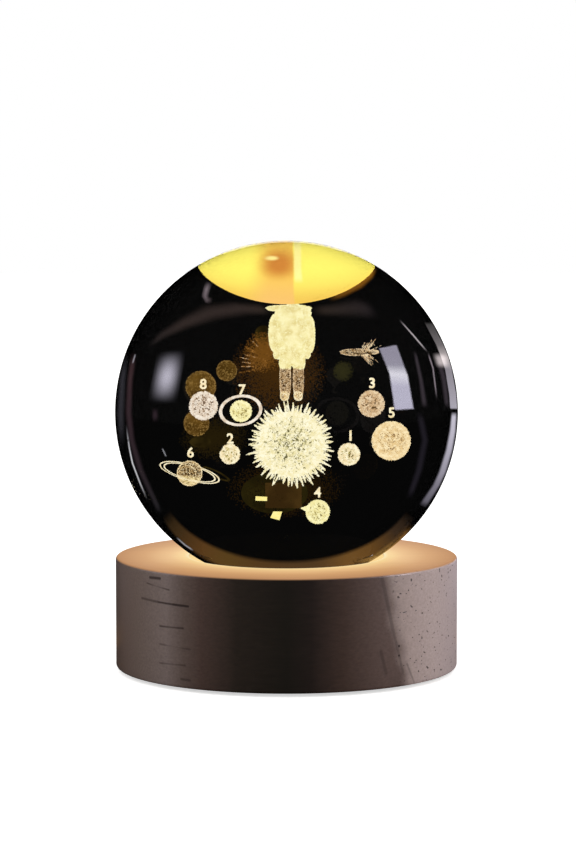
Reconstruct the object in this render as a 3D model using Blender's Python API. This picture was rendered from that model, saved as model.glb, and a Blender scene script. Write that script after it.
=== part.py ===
"""Crystal globe lamp: an engraved glass ball that rests in the lit recess of a turned wooden base.

Run it with: blender --background --python part.py

Units are metres and +Z is up. The lamp stands on the plane z = 0 with its axis on the Z axis,
its front faces -Y, and the power inlet and the push button are at the back, towards +Y.
"""

from math import asin, cos, pi, radians, sin, sqrt

import bmesh
import bpy
from mathutils import Matrix, Vector

# Clearances that every fit shares.
FIT_GAP = 0.0003
SOLDER_GAP = 0.00015
CUT_OVERRUN = 0.001
MERGE_DISTANCE = 0.000001

# Glass ball, with a flat ground on its underside to stand on.
GLOBE_DIAMETER = 0.080
GLOBE_FLAT_CHAMFER = 0.0004

# Wooden base, turned to the ball's diameter.
BASE_HEIGHT = 0.026
BASE_STAND_OFF = 0.0007
BASE_TOP_ROUNDING = 0.0007
BASE_BOTTOM_ROUNDING = 0.0008
RECESS_DEPTH = 0.0041
RECESS_CLEARANCE = 0.0011
RECESS_LIP_ROUNDING = 0.0005
SEAT_LEDGE_WIDTH = 0.0027
SEAT_THICKNESS = 0.004
CAVITY_WALL = 0.010
COVER_LIP_WALL = 0.004

# Clear window over the lamps.
WINDOW_THICKNESS = 0.0016
WINDOW_LEDGE_WIDTH = 0.0023
WINDOW_SET_BACK = 0.0002
WINDOW_CHAMFER = 0.0002

# Round board with the lamps.
LED_BOARD_RIM = 0.006
LED_BOARD_THICKNESS = 0.0012
LED_COUNT = 6
LED_CIRCLE_DIAMETER = 0.0115
LED_LENGTH = 0.0035
LED_WIDTH = 0.0028
LED_HEIGHT = 0.0007
LED_FRAME = 0.0004
LED_LENS_DEPTH = 0.0001
LED_TO_BORE = 0.0015

# Screws: one kind in three lengths.
SCREW_HEAD_DIAMETER = 0.0038
SCREW_HEAD_HEIGHT = 0.001
SCREW_HEAD_ROUNDING = 0.0003
SCREW_SHANK_DIAMETER = 0.0017
SCREW_POINT_LENGTH = 0.0008
SCREW_POINT_SHARE = 0.5
SCREW_DRIVE_LENGTH = 0.0022
SCREW_DRIVE_WIDTH = 0.0005
SCREW_DRIVE_DEPTH = 0.0006
SCREW_EDGE_MARGIN = 0.0005
COVER_SCREW_LENGTH = 0.008
COVER_SCREW_ANGLES = (-90, 30, 150)
LED_BOARD_SCREW_LENGTH = 0.004
LED_BOARD_SCREW_ANGLES = (0, 180)
CONTROL_BOARD_SCREW_LENGTH = 0.005

# Bottom cover and the feet under it.
COVER_THICKNESS = 0.0022
COVER_SET_BACK = 0.001
COVER_CHAMFER = 0.0003
FOOT_DIAMETER = 0.009
FOOT_ROUNDING = 0.0003
FOOT_TO_SCREW = 0.0015
FOOT_ANGLES = (45, 135, 225, 315)

# Control board, standing behind the back wall.
CONTROL_BOARD_WIDTH = 0.019
CONTROL_BOARD_THICKNESS = 0.0012
CONTROL_BOARD_CLEARANCE = 0.0005
CONTROL_BOARD_POCKET_DEPTH = 0.006
PORT_ABOVE_BOARD_EDGE = 0.004
BUTTON_ABOVE_PORT = 0.0074
BOARD_SCREW_ABOVE_PORT = 0.0037

# USB-C inlet.
PORT_WIDTH = 0.00894
PORT_HEIGHT = 0.0032
PORT_LENGTH = 0.0093
PORT_WALL = 0.0003
PORT_INSET = 0.0003
PORT_BLOCK_LENGTH = 0.0026
TONGUE_WIDTH = 0.0067
TONGUE_THICKNESS = 0.0007
TONGUE_SET_BACK = 0.001

# Push switch and the button that works it.
SWITCH_SIDE = 0.006
SWITCH_DEPTH = 0.0036
SWITCH_BORE_DEPTH = 0.003
SWITCH_POCKET_CLEARANCE = 0.0004
PLUNGER_DIAMETER = 0.0034
BUTTON_DIAMETER = 0.006
BUTTON_TRAVEL = 0.001
BUTTON_PROUD = 0.0007
BUTTON_EDGE_ROUNDING = 0.0005
BUTTON_FLANGE_WIDTH = 0.0008
BUTTON_FLANGE_THICKNESS = 0.0008
BUTTON_SOCKET_DEPTH = 0.0025

# Resistors on the control board's inner face.
RESISTOR_LENGTH = 0.0032
RESISTOR_WIDTH = 0.0016
RESISTOR_HEIGHT = 0.0006
RESISTOR_BEVEL = 0.0001
RESISTOR_SPACING = 0.0046
RESISTOR_ABOVE_BOARD_EDGE = 0.003

# The two leads between the boards.
LEAD_DIAMETER = 0.0012
LEAD_SPACING = 0.004
LEAD_ABOVE_BOARD_EDGE = 0.010
LEAD_FROM_LED_BOARD_EDGE = 0.003
LEAD_BEND = 0.006

# How finely round shapes are divided.
LARGE_SIDES = 64
GLOBE_RINGS_BELOW = 9
GLOBE_RINGS_ABOVE = 12
SMALL_SIDES = 20
SCREW_SIDES = 12
ARC_STEPS = 3
LEAD_POINTS = 14
SHARP_ANGLE = radians(35)

# Radii and heights that follow from the sizes above.
globe_radius = GLOBE_DIAMETER / 2
led_ring_radius = LED_CIRCLE_DIAMETER / 2
light_bore_radius = led_ring_radius + LED_LENGTH / 2 + LED_TO_BORE
window_hole_radius = light_bore_radius + WINDOW_LEDGE_WIDTH
flat_radius = window_hole_radius + SEAT_LEDGE_WIDTH
base_radius = globe_radius
base_bottom = BASE_STAND_OFF
base_top = base_bottom + BASE_HEIGHT
recess_floor = base_top - RECESS_DEPTH
cavity_roof = recess_floor - SEAT_THICKNESS
globe_bottom = recess_floor + FIT_GAP
globe_centre = globe_bottom + sqrt(globe_radius**2 - flat_radius**2)
globe_radius_at_top_plane = sqrt(globe_radius**2 - (globe_centre - base_top) ** 2)
recess_radius = globe_radius_at_top_plane + RECESS_CLEARANCE
window_radius = window_hole_radius - FIT_GAP
window_top = recess_floor - WINDOW_SET_BACK
window_bottom = window_top - WINDOW_THICKNESS
window_ledge = window_bottom - FIT_GAP
cavity_radius = base_radius - CAVITY_WALL
cover_hole_radius = base_radius - COVER_LIP_WALL
cover_bottom = base_bottom + COVER_SET_BACK
cover_top = cover_bottom + COVER_THICKNESS
cover_ledge = cover_top + FIT_GAP
screw_hole_radius = SCREW_SHANK_DIAMETER / 2 + FIT_GAP
screw_head_radius = SCREW_HEAD_DIAMETER / 2

led_board_top = cavity_roof - FIT_GAP
led_board_bottom = led_board_top - LED_BOARD_THICKNESS
led_board_radius = light_bore_radius + LED_BOARD_RIM
led_board_screw_circle = led_board_radius - screw_head_radius - SCREW_EDGE_MARGIN
cover_screw_circle = (cavity_radius + cover_hole_radius) / 2
foot_circle = cover_screw_circle - screw_head_radius - FOOT_TO_SCREW - FOOT_DIAMETER / 2

port_mouth = sqrt(base_radius**2 - (PORT_WIDTH / 2) ** 2) - PORT_INSET
port_root = port_mouth - PORT_LENGTH
board_outer_face = port_root - SOLDER_GAP
board_inner_face = board_outer_face - CONTROL_BOARD_THICKNESS
pocket_wall = board_outer_face + FIT_GAP
board_bottom = cover_top + CONTROL_BOARD_CLEARANCE
port_height = board_bottom + PORT_ABOVE_BOARD_EDGE
button_height = port_height + BUTTON_ABOVE_PORT
board_top = button_height + SWITCH_SIDE / 2
switch_root = board_outer_face + SOLDER_GAP
switch_front = switch_root + SWITCH_DEPTH
switch_bore_radius = PLUNGER_DIAMETER / 2 + FIT_GAP
switch_pocket_radius = SWITCH_SIDE / sqrt(2) + SWITCH_POCKET_CLEARANCE
button_back = switch_front + BUTTON_TRAVEL + FIT_GAP
flange_front = button_back + BUTTON_FLANGE_THICKNESS
button_shoulder = flange_front + FIT_GAP
button_front = base_radius + BUTTON_PROUD
plunger_back = switch_front - SWITCH_BORE_DEPTH + BUTTON_TRAVEL + FIT_GAP
plunger_front = button_back + BUTTON_SOCKET_DEPTH - FIT_GAP

# Turning a shape made along +Z so that it lies along +Y, out through the back wall.
TO_BACK = Matrix.Rotation(-pi / 2, 4, "X")


def clear_scene():
    """Empties the scene that Blender starts with."""
    for thing in list(bpy.data.objects):
        bpy.data.objects.remove(thing)


def finish(name, colour, roughness, metallic=0.0, transmission=0.0, glow=0.0):
    """A plain Principled material; colour holds linear red, green and blue."""
    material = bpy.data.materials.new(name)
    material.use_nodes = True
    shader = material.node_tree.nodes["Principled BSDF"]
    shader.inputs["Base Color"].default_value = (*colour, 1.0)
    shader.inputs["Roughness"].default_value = roughness
    shader.inputs["Metallic"].default_value = metallic
    shader.inputs["Transmission Weight"].default_value = transmission
    shader.inputs["Emission Color"].default_value = (*colour, 1.0)
    shader.inputs["Emission Strength"].default_value = glow
    return material


def arc(centre, radius, start, end, steps=ARC_STEPS):
    """Points (radius, height) on a round edge, from one angle to another in degrees."""
    angles = [radians(start + (end - start) * step / steps) for step in range(steps + 1)]
    return [(centre[0] + radius * cos(a), centre[1] + radius * sin(a)) for a in angles]


def turned(outline, sides, ring=False):
    """Spins an outline of (radius, height) points about Z.

    A ring's outline is closed and stays off the axis. Any other outline is filled at both ends:
    it starts and ends on the axis or with a flat face.
    """
    bm = bmesh.new()
    if not ring:
        outline = [(0, outline[0][1]), *outline, (0, outline[-1][1])]
    corners = [bm.verts.new((radius, 0, height)) for radius, height in outline]
    edges = [bm.edges.new(pair) for pair in zip(corners, corners[1:])]
    if ring:
        edges.append(bm.edges.new((corners[-1], corners[0])))
    bmesh.ops.spin(
        bm,
        geom=corners + edges,
        cent=(0, 0, 0),
        axis=(0, 0, 1),
        angle=2 * pi,
        steps=sides,
        use_merge=True,
    )
    return tidied(bm)


def tidied(bm):
    """Merges the points that meet and turns every face outwards."""
    bmesh.ops.remove_doubles(bm, verts=bm.verts, dist=MERGE_DISTANCE)
    bmesh.ops.recalc_face_normals(bm, faces=bm.faces)
    return bm


def level_circle(radius, height, sides, first=0.0):
    """Points round a level circle; first is the share of a step by which the first one is turned."""
    angles = [2 * pi * (side + first) / sides for side in range(sides)]
    return [Vector((radius * cos(a), radius * sin(a), height)) for a in angles]


def level_slot(width, depth, height):
    """Points round a level slot whose ends are half circles."""
    radius = depth / 2
    half = width / 2 - radius
    right = [(half + r, z) for r, z in arc((0, 0), radius, -90, 90, 2 * ARC_STEPS)]
    left = [(r - half, z) for r, z in arc((0, 0), radius, 90, 270, 2 * ARC_STEPS)]
    return [Vector((x, y, height)) for x, y in right + left]


def skinned(loops, ring=False):
    """Joins loops of equally many points with faces, as a bar with filled ends or as a closed ring."""
    bm = bmesh.new()
    rows = [[bm.verts.new(point) for point in loop] for loop in loops]
    pairs = list(zip(rows, rows[1:]))
    if ring:
        pairs.append((rows[-1], rows[0]))
    else:
        bm.faces.new(rows[0])
        bm.faces.new(rows[-1])
    for lower, upper in pairs:
        for here, there in zip(range(len(lower)), [*range(1, len(lower)), 0]):
            bm.faces.new((lower[here], lower[there], upper[there], upper[here]))
    return tidied(bm)


def block(width, depth, height):
    """A box on z = 0, centred on the Z axis."""
    bm = bmesh.new()
    place = Matrix.Translation((0, 0, height / 2)) @ Matrix.Diagonal((width, depth, height, 1))
    bmesh.ops.create_cube(bm, size=1.0, matrix=place)
    return bm


def mesh_of(name, bm, material=None):
    """Turns a bmesh into a mesh that is shaded smooth, apart from its sharp edges."""
    mesh = bpy.data.meshes.new(name)
    bm.to_mesh(mesh)
    bm.free()
    mesh.shade_smooth()
    mesh.set_sharp_from_angle(angle=SHARP_ANGLE)
    if material:
        mesh.materials.append(material)
    return mesh


def put(name, mesh, at=(0, 0, 0), turn=None, parent=None):
    """Puts a mesh into the scene as an object at a place, turned by a matrix."""
    thing = bpy.data.objects.new(name, mesh)
    bpy.context.scene.collection.objects.link(thing)
    place = Matrix.Translation(at) @ (turn or Matrix.Identity(4))
    if parent:
        thing.parent = parent
        place = parent.matrix_world.inverted() @ place
    thing.matrix_basis = place
    return thing


def make(name, bm, material=None, at=(0, 0, 0), turn=None, parent=None):
    """Makes a piece that is alone of its kind from a bmesh."""
    return put(name, mesh_of(name, bm, material), at, turn, parent)


def joint_empty(name, at):
    """An empty that marks the axis of a moving body and carries its pieces."""
    empty = bpy.data.objects.new(name, None)
    bpy.context.scene.collection.objects.link(empty)
    empty.location = at
    bpy.context.view_layer.update()
    return empty


def bevel(thing, width):
    """Takes the sharp edges off an object."""
    modifier = thing.modifiers.new("broken edges", "BEVEL")
    modifier.width = width
    modifier.segments = 1
    modifier.limit_method = "ANGLE"


def cut(thing, name, bm, at=(0, 0, 0), turn=None):
    """Takes a shape away from an object, leaving the shape in the scene as a wire guide."""
    tool = make(name, bm, None, at, turn)
    tool.hide_render = True
    tool.display_type = "WIRE"
    modifier = thing.modifiers.new(name, "BOOLEAN")
    modifier.operation = "DIFFERENCE"
    modifier.solver = "EXACT"
    modifier.object = tool


def around(circle_radius, angle, height):
    """The point at an angle in degrees on a level circle."""
    return (circle_radius * cos(radians(angle)), circle_radius * sin(radians(angle)), height)


def screw_mesh(name, length, material):
    """A pan-head screw along +Z with a cross recess; its origin is where the head bears."""
    shank = SCREW_SHANK_DIAMETER / 2
    long_arm = SCREW_DRIVE_LENGTH / 2
    short_arm = SCREW_DRIVE_WIDTH / 2
    quarter = [(long_arm, short_arm), (short_arm, short_arm), (short_arm, long_arm)]
    cross = [
        Matrix.Rotation(pi / 2 * turn, 3, "Z") @ Vector((*corner, 0))
        for turn in range(4)
        for corner in quarter
    ]
    head_face = Vector((0, 0, -SCREW_HEAD_HEIGHT))
    drive_floor = head_face + Vector((0, 0, SCREW_DRIVE_DEPTH))

    def ring(radius, height):
        return level_circle(radius, height, SCREW_SIDES, 0.5)

    bm = skinned(
        [
            [point + drive_floor for point in cross],
            [point + head_face for point in cross],
            ring(screw_head_radius - SCREW_HEAD_ROUNDING, -SCREW_HEAD_HEIGHT),
            ring(screw_head_radius, SCREW_HEAD_ROUNDING - SCREW_HEAD_HEIGHT),
            ring(screw_head_radius, 0),
            ring(shank, 0),
            ring(shank, length - SCREW_POINT_LENGTH),
            ring(shank * SCREW_POINT_SHARE, length),
        ]
    )
    return mesh_of(name, bm, material)


def crystal_globe():
    """The glass ball: a sphere with a flat ground on its underside, its edge chamfered."""
    carrier = joint_empty("globe_lift", (0, 0, globe_bottom))
    chamfer_top = globe_bottom + GLOBE_FLAT_CHAMFER
    low_angle = asin((chamfer_top - globe_centre) / globe_radius) * 180 / pi
    outline = [
        (flat_radius - GLOBE_FLAT_CHAMFER, globe_bottom),
        *arc((0, globe_centre), globe_radius, low_angle, 0, GLOBE_RINGS_BELOW),
        *arc((0, globe_centre), globe_radius, 0, 90, GLOBE_RINGS_ABOVE)[1:],
    ]
    outline = [(radius, height - globe_bottom) for radius, height in outline]
    glass = finish("crown glass", (0.95, 0.95, 0.93), 0.02, transmission=1.0)
    make("crystal_globe", turned(outline, LARGE_SIDES), glass, carrier.location, None, carrier)


def wooden_base():
    """The turned wooden body, open below, with the ball's recess above and a bore for the light."""
    outer_bottom = (base_radius - BASE_BOTTOM_ROUNDING, base_bottom + BASE_BOTTOM_ROUNDING)
    outer_top = (base_radius - BASE_TOP_ROUNDING, base_top - BASE_TOP_ROUNDING)
    lip = (recess_radius + RECESS_LIP_ROUNDING, base_top - RECESS_LIP_ROUNDING)
    outline = [
        *arc(outer_bottom, BASE_BOTTOM_ROUNDING, -90, 0),
        *arc(outer_top, BASE_TOP_ROUNDING, 0, 90),
        *arc(lip, RECESS_LIP_ROUNDING, 90, 180),
        (recess_radius, recess_floor),
        (window_hole_radius, recess_floor),
        (window_hole_radius, window_ledge),
        (light_bore_radius, window_ledge),
        (light_bore_radius, cavity_roof),
        (cavity_radius, cavity_roof),
        (cavity_radius, cover_ledge),
        (cover_hole_radius, cover_ledge),
        (cover_hole_radius, base_bottom),
    ]
    wood = finish("stained beech", (0.075, 0.038, 0.027), 0.5)
    base = make("wooden_base", turned(outline, LARGE_SIDES, ring=True), wood)
    cut_back_pocket(base)
    cut_screw_holes(base)


def cut_back_pocket(base):
    """The pocket for the control board, the inlet's slot and the button's stepped hole."""
    pocket_width = CONTROL_BOARD_WIDTH + 2 * CONTROL_BOARD_CLEARANCE
    pocket_top = board_top + CONTROL_BOARD_CLEARANCE
    pocket_front = board_inner_face - CONTROL_BOARD_POCKET_DEPTH
    pocket_depth = pocket_wall - pocket_front
    pocket_height = pocket_top - cover_ledge + CUT_OVERRUN
    cut(
        base,
        "board pocket",
        block(pocket_width, pocket_depth, pocket_height),
        (0, pocket_front + pocket_depth / 2, cover_ledge - CUT_OVERRUN),
    )
    slot_length = base_radius - pocket_wall + 2 * CUT_OVERRUN
    slot_width = PORT_WIDTH + 2 * FIT_GAP
    slot_height = PORT_HEIGHT + 2 * FIT_GAP
    slot = [
        level_slot(slot_width, slot_height, 0),
        level_slot(slot_width, slot_height, slot_length),
    ]
    at = (0, pocket_wall - CUT_OVERRUN, port_height)
    cut(base, "inlet slot", skinned(slot), at, TO_BACK)
    outer_radius = BUTTON_DIAMETER / 2 + FIT_GAP
    shoulder = button_shoulder - pocket_wall + CUT_OVERRUN
    outline = [
        (switch_pocket_radius, 0),
        (switch_pocket_radius, shoulder),
        (outer_radius, shoulder),
        (outer_radius, slot_length),
    ]
    at = (0, pocket_wall - CUT_OVERRUN, button_height)
    cut(base, "button hole", turned(outline, SMALL_SIDES), at, TO_BACK)


def pilot(length):
    """The hole for a screw's shank: from a little in front of the face, on past the screw's tip."""
    depth = length + FIT_GAP + CUT_OVERRUN
    return turned([(screw_hole_radius, 0), (screw_hole_radius, depth)], SCREW_SIDES)


def cut_screw_holes(base):
    """Pilot holes for the screws of the cover and of both boards."""
    cover_bearing = cover_bottom + SCREW_HEAD_HEIGHT
    engaged = cover_bearing + COVER_SCREW_LENGTH - cover_ledge
    for number, angle in enumerate(COVER_SCREW_ANGLES, 1):
        at = around(cover_screw_circle, angle, cover_ledge - CUT_OVERRUN)
        cut(base, f"cover pilot {number}", pilot(engaged), at)
    led_bearing = led_board_bottom - FIT_GAP
    engaged = led_bearing + LED_BOARD_SCREW_LENGTH - cavity_roof
    for number, angle in enumerate(LED_BOARD_SCREW_ANGLES, 1):
        at = around(led_board_screw_circle, angle, cavity_roof - CUT_OVERRUN)
        cut(base, f"lamp board pilot {number}", pilot(engaged), at)
    board_bearing = board_inner_face - FIT_GAP
    engaged = board_bearing + CONTROL_BOARD_SCREW_LENGTH - pocket_wall
    for number, side in enumerate((-1, 1), 1):
        x, z = control_board_screw_place(side)
        cut(base, f"board pilot {number}", pilot(engaged), (x, pocket_wall - CUT_OVERRUN, z), TO_BACK)


def control_board_screw_place(side):
    """Where a control board screw's axis stands, across and up."""
    across = CONTROL_BOARD_WIDTH / 2 - screw_head_radius - SCREW_EDGE_MARGIN
    return side * across, port_height + BOARD_SCREW_ABOVE_PORT


def light_window():
    """The clear disc that keeps dust and fingers off the lamps."""
    face_radius = window_radius - WINDOW_CHAMFER
    outline = [
        (face_radius, window_bottom),
        (window_radius, window_bottom + WINDOW_CHAMFER),
        (window_radius, window_top - WINDOW_CHAMFER),
        (face_radius, window_top),
    ]
    acrylic = finish("cast acrylic", (0.95, 0.97, 0.96), 0.05, transmission=1.0)
    make("light_window", turned(outline, LARGE_SIDES), acrylic)


def led_board():
    """The round board that carries the lamps, screwed up under the seat."""
    outline = [(led_board_radius, led_board_bottom), (led_board_radius, led_board_top)]
    mask = finish("white solder mask", (0.8, 0.8, 0.78), 0.4)
    board = make("led_board", turned(outline, LARGE_SIDES), mask)
    for number, angle in enumerate(LED_BOARD_SCREW_ANGLES, 1):
        at = around(led_board_screw_circle, angle, led_board_bottom - CUT_OVERRUN)
        hole = pilot(LED_BOARD_THICKNESS + CUT_OVERRUN)
        cut(board, f"lamp board hole {number}", hole, at)


def leds():
    """The lamps: flat packages with a sunk yellow lens, evenly round a circle."""
    bm = block(LED_LENGTH, LED_WIDTH, LED_HEIGHT)
    top = [face for face in bm.faces if face.normal.z > 0.5]
    bmesh.ops.inset_region(bm, faces=top, thickness=LED_FRAME)
    bmesh.ops.translate(bm, vec=(0, 0, -LED_LENS_DEPTH), verts=top[0].verts)
    package = finish("warm white LED", (1.0, 0.75, 0.35), 0.4, glow=5.0)
    mesh = mesh_of("led", bm, package)
    for number in range(LED_COUNT):
        angle = 360 * number / LED_COUNT
        at = around(led_ring_radius, angle, led_board_top + SOLDER_GAP)
        turn = Matrix.Rotation(radians(angle), 4, "Z")
        put(f"led_{number + 1}", mesh, at, turn)


def screws():
    """The screws of the cover, the lamp board and the control board."""
    steel = finish("zinc plated steel", (0.55, 0.54, 0.5), 0.3, metallic=1.0)
    mesh = screw_mesh("cover screw", COVER_SCREW_LENGTH, steel)
    for number, angle in enumerate(COVER_SCREW_ANGLES, 1):
        at = around(cover_screw_circle, angle, cover_bottom + SCREW_HEAD_HEIGHT)
        put(f"cover_screw_{number}", mesh, at)
    mesh = screw_mesh("lamp board screw", LED_BOARD_SCREW_LENGTH, steel)
    for number, angle in enumerate(LED_BOARD_SCREW_ANGLES, 1):
        at = around(led_board_screw_circle, angle, led_board_bottom - FIT_GAP)
        put(f"led_board_screw_{number}", mesh, at)
    mesh = screw_mesh("control board screw", CONTROL_BOARD_SCREW_LENGTH, steel)
    for number, side in enumerate((-1, 1), 1):
        x, z = control_board_screw_place(side)
        at = (x, board_inner_face - FIT_GAP, z)
        put(f"control_board_screw_{number}", mesh, at, TO_BACK)


def control_board():
    """The small board on edge behind the back wall, with the inlet and the switch on its outer face."""
    height = board_top - board_bottom
    laminate = finish("green solder mask", (0.02, 0.13, 0.05), 0.35)
    at = (0, board_inner_face + CONTROL_BOARD_THICKNESS / 2, board_bottom)
    shape = block(CONTROL_BOARD_WIDTH, CONTROL_BOARD_THICKNESS, height)
    board = make("control_board", shape, laminate, at)
    for number, side in enumerate((-1, 1), 1):
        x, z = control_board_screw_place(side)
        hole = pilot(CONTROL_BOARD_THICKNESS + CUT_OVERRUN)
        cut(board, f"board hole {number}", hole, (x, board_inner_face - CUT_OVERRUN, z), TO_BACK)


def usb_inlet():
    """The inlet's steel shell, and the moulded block with its tongue inside it."""
    inner_width = PORT_WIDTH - 2 * PORT_WALL
    inner_height = PORT_HEIGHT - 2 * PORT_WALL
    shell = [
        level_slot(PORT_WIDTH, PORT_HEIGHT, 0),
        level_slot(PORT_WIDTH, PORT_HEIGHT, PORT_LENGTH),
        level_slot(inner_width, inner_height, PORT_LENGTH),
        level_slot(inner_width, inner_height, 0),
    ]
    steel = finish("nickel plated steel", (0.6, 0.58, 0.55), 0.3, metallic=1.0)
    at = (0, port_root, port_height)
    make("usb_c_shell", skinned(shell, ring=True), steel, at, TO_BACK)
    block_width = inner_width - 2 * SOLDER_GAP
    block_height = inner_height - 2 * SOLDER_GAP
    tongue_end = PORT_LENGTH - TONGUE_SET_BACK
    tongue = [
        level_slot(block_width, block_height, 0),
        level_slot(block_width, block_height, PORT_BLOCK_LENGTH),
        level_slot(TONGUE_WIDTH, TONGUE_THICKNESS, PORT_BLOCK_LENGTH),
        level_slot(TONGUE_WIDTH, TONGUE_THICKNESS, tongue_end),
    ]
    nylon = finish("black nylon", (0.012, 0.012, 0.012), 0.5)
    make("usb_c_tongue", skinned(tongue), nylon, at, TO_BACK)


def push_switch():
    """The switch's fixed body, its plunger, and the button cap pressed onto the plunger."""
    nylon = finish("black switch nylon", (0.015, 0.015, 0.015), 0.45)
    at = (0, switch_root, button_height)
    body = make("power_switch_body", block(SWITCH_SIDE, SWITCH_SIDE, SWITCH_DEPTH), nylon, at, TO_BACK)
    bore = turned(
        [(switch_bore_radius, 0), (switch_bore_radius, SWITCH_BORE_DEPTH + CUT_OVERRUN)], SMALL_SIDES
    )
    cut(body, "plunger bore", bore, (0, switch_front - SWITCH_BORE_DEPTH, button_height), TO_BACK)

    carrier = joint_empty("button_press", (0, button_front, button_height))
    plunger_radius = PLUNGER_DIAMETER / 2
    outline = [(plunger_radius, 0), (plunger_radius, plunger_front - plunger_back)]
    white = finish("white acetal", (0.7, 0.7, 0.68), 0.4)
    at = (0, plunger_back, button_height)
    make("power_switch_plunger", turned(outline, SMALL_SIDES), white, at, TO_BACK, carrier)

    flange_radius = BUTTON_DIAMETER / 2 + BUTTON_FLANGE_WIDTH
    cap_radius = BUTTON_DIAMETER / 2
    cap_length = button_front - button_back
    edge = (cap_radius - BUTTON_EDGE_ROUNDING, cap_length - BUTTON_EDGE_ROUNDING)
    outline = [
        (switch_bore_radius, BUTTON_SOCKET_DEPTH),
        (switch_bore_radius, 0),
        (flange_radius, 0),
        (flange_radius, BUTTON_FLANGE_THICKNESS),
        (cap_radius, BUTTON_FLANGE_THICKNESS),
        *arc(edge, BUTTON_EDGE_ROUNDING, 0, 90),
    ]
    black = finish("black ABS", (0.02, 0.02, 0.02), 0.35)
    at = (0, button_back, button_height)
    make("power_button_cap", turned(outline, SMALL_SIDES), black, at, TO_BACK, carrier)


def resistors():
    """The lamps' series resistor and the inlet's two, on the control board's inner face."""
    ceramic = finish("black chip resistor", (0.02, 0.02, 0.022), 0.4)
    names = ("port_resistor_1", "series_resistor", "port_resistor_2")
    for place, name in enumerate(names, -1):
        at = (
            place * RESISTOR_SPACING,
            board_inner_face - SOLDER_GAP - RESISTOR_HEIGHT,
            board_bottom + RESISTOR_ABOVE_BOARD_EDGE,
        )
        shape = block(RESISTOR_LENGTH, RESISTOR_WIDTH, RESISTOR_HEIGHT)
        bevel(make(name, shape, ceramic, at, TO_BACK), RESISTOR_BEVEL)


def leads():
    """The two leads: each leaves the control board inwards and rises to the lamp board's underside."""
    sleeves = {"lead_red": (-1, (0.6, 0.02, 0.015)), "lead_black": (1, (0.015, 0.015, 0.015))}
    start_height = board_bottom + LEAD_ABOVE_BOARD_EDGE
    end_depth = led_board_radius - LEAD_FROM_LED_BOARD_EDGE
    for name, (side, colour) in sleeves.items():
        x = side * LEAD_SPACING / 2
        start = Vector((x, board_inner_face - SOLDER_GAP, start_height))
        end = Vector((x, end_depth, led_board_bottom - SOLDER_GAP))
        first = start + Vector((0, -LEAD_BEND, 0))
        second = end + Vector((0, 0, -LEAD_BEND))
        curve = bpy.data.curves.new(name, "CURVE")
        curve.dimensions = "3D"
        curve.bevel_depth = LEAD_DIAMETER / 2
        curve.bevel_resolution = 2
        curve.use_fill_caps = True
        spline = curve.splines.new("POLY")
        spline.points.add(LEAD_POINTS - 1)
        for number, point in enumerate(spline.points):
            t = number / (LEAD_POINTS - 1)
            u = 1 - t
            place = u**3 * start + 3 * u**2 * t * first + 3 * u * t**2 * second + t**3 * end
            point.co = (*place, 1)
        curve.materials.append(finish(name.replace("_", " "), colour, 0.4))
        bpy.context.scene.collection.objects.link(bpy.data.objects.new(name, curve))


def bottom_cover():
    """The moulded disc that closes the base, with a sunk hole for each screw."""
    cover_radius = cover_hole_radius - FIT_GAP
    outline = [
        (cover_radius - COVER_CHAMFER, cover_bottom),
        (cover_radius, cover_bottom + COVER_CHAMFER),
        (cover_radius, cover_top),
    ]
    plastic = finish("black moulded ABS", (0.018, 0.018, 0.018), 0.5)
    cover = make("bottom_cover", turned(outline, LARGE_SIDES), plastic)
    sink_radius = screw_head_radius + FIT_GAP
    sink_depth = SCREW_HEAD_HEIGHT + FIT_GAP + CUT_OVERRUN
    sink = [
        (sink_radius, 0),
        (sink_radius, sink_depth),
        (screw_hole_radius, sink_depth),
        (screw_hole_radius, COVER_THICKNESS + 2 * CUT_OVERRUN),
    ]
    for number, angle in enumerate(COVER_SCREW_ANGLES, 1):
        at = around(cover_screw_circle, angle, cover_bottom - CUT_OVERRUN)
        cut(cover, f"cover hole {number}", turned(sink, SMALL_SIDES), at)


def rubber_feet():
    """The round feet stuck to the cover, which hold the wood just clear of the table."""
    radius = FOOT_DIAMETER / 2
    height = cover_bottom - FIT_GAP
    outline = [
        *arc((radius - FOOT_ROUNDING, FOOT_ROUNDING), FOOT_ROUNDING, -90, 0),
        (radius, height),
    ]
    rubber = finish("black rubber", (0.02, 0.02, 0.02), 0.8)
    mesh = mesh_of("rubber foot", turned(outline, SMALL_SIDES), rubber)
    for number, angle in enumerate(FOOT_ANGLES, 1):
        put(f"rubber_foot_{number}", mesh, around(foot_circle, angle, 0))


def main():
    """Builds the lamp from the table up."""
    clear_scene()
    rubber_feet()
    bottom_cover()
    wooden_base()
    control_board()
    usb_inlet()
    push_switch()
    resistors()
    led_board()
    leds()
    leads()
    light_window()
    screws()
    crystal_globe()


main()
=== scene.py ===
# %% [markdown]
# # A crystal globe night light
#
# The object is a clear glass ball, engraved inside by a laser, that stands in the lit recess of a
# round wooden base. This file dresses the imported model, which is loaded as a fixed frame, with
# fine surfaces and real finishes. Everything is in metres, +Z is up, and the front faces -Y.

from functools import partial
from math import asin, atan, cos, hypot, pi, radians, sin, sqrt, tan

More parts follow.
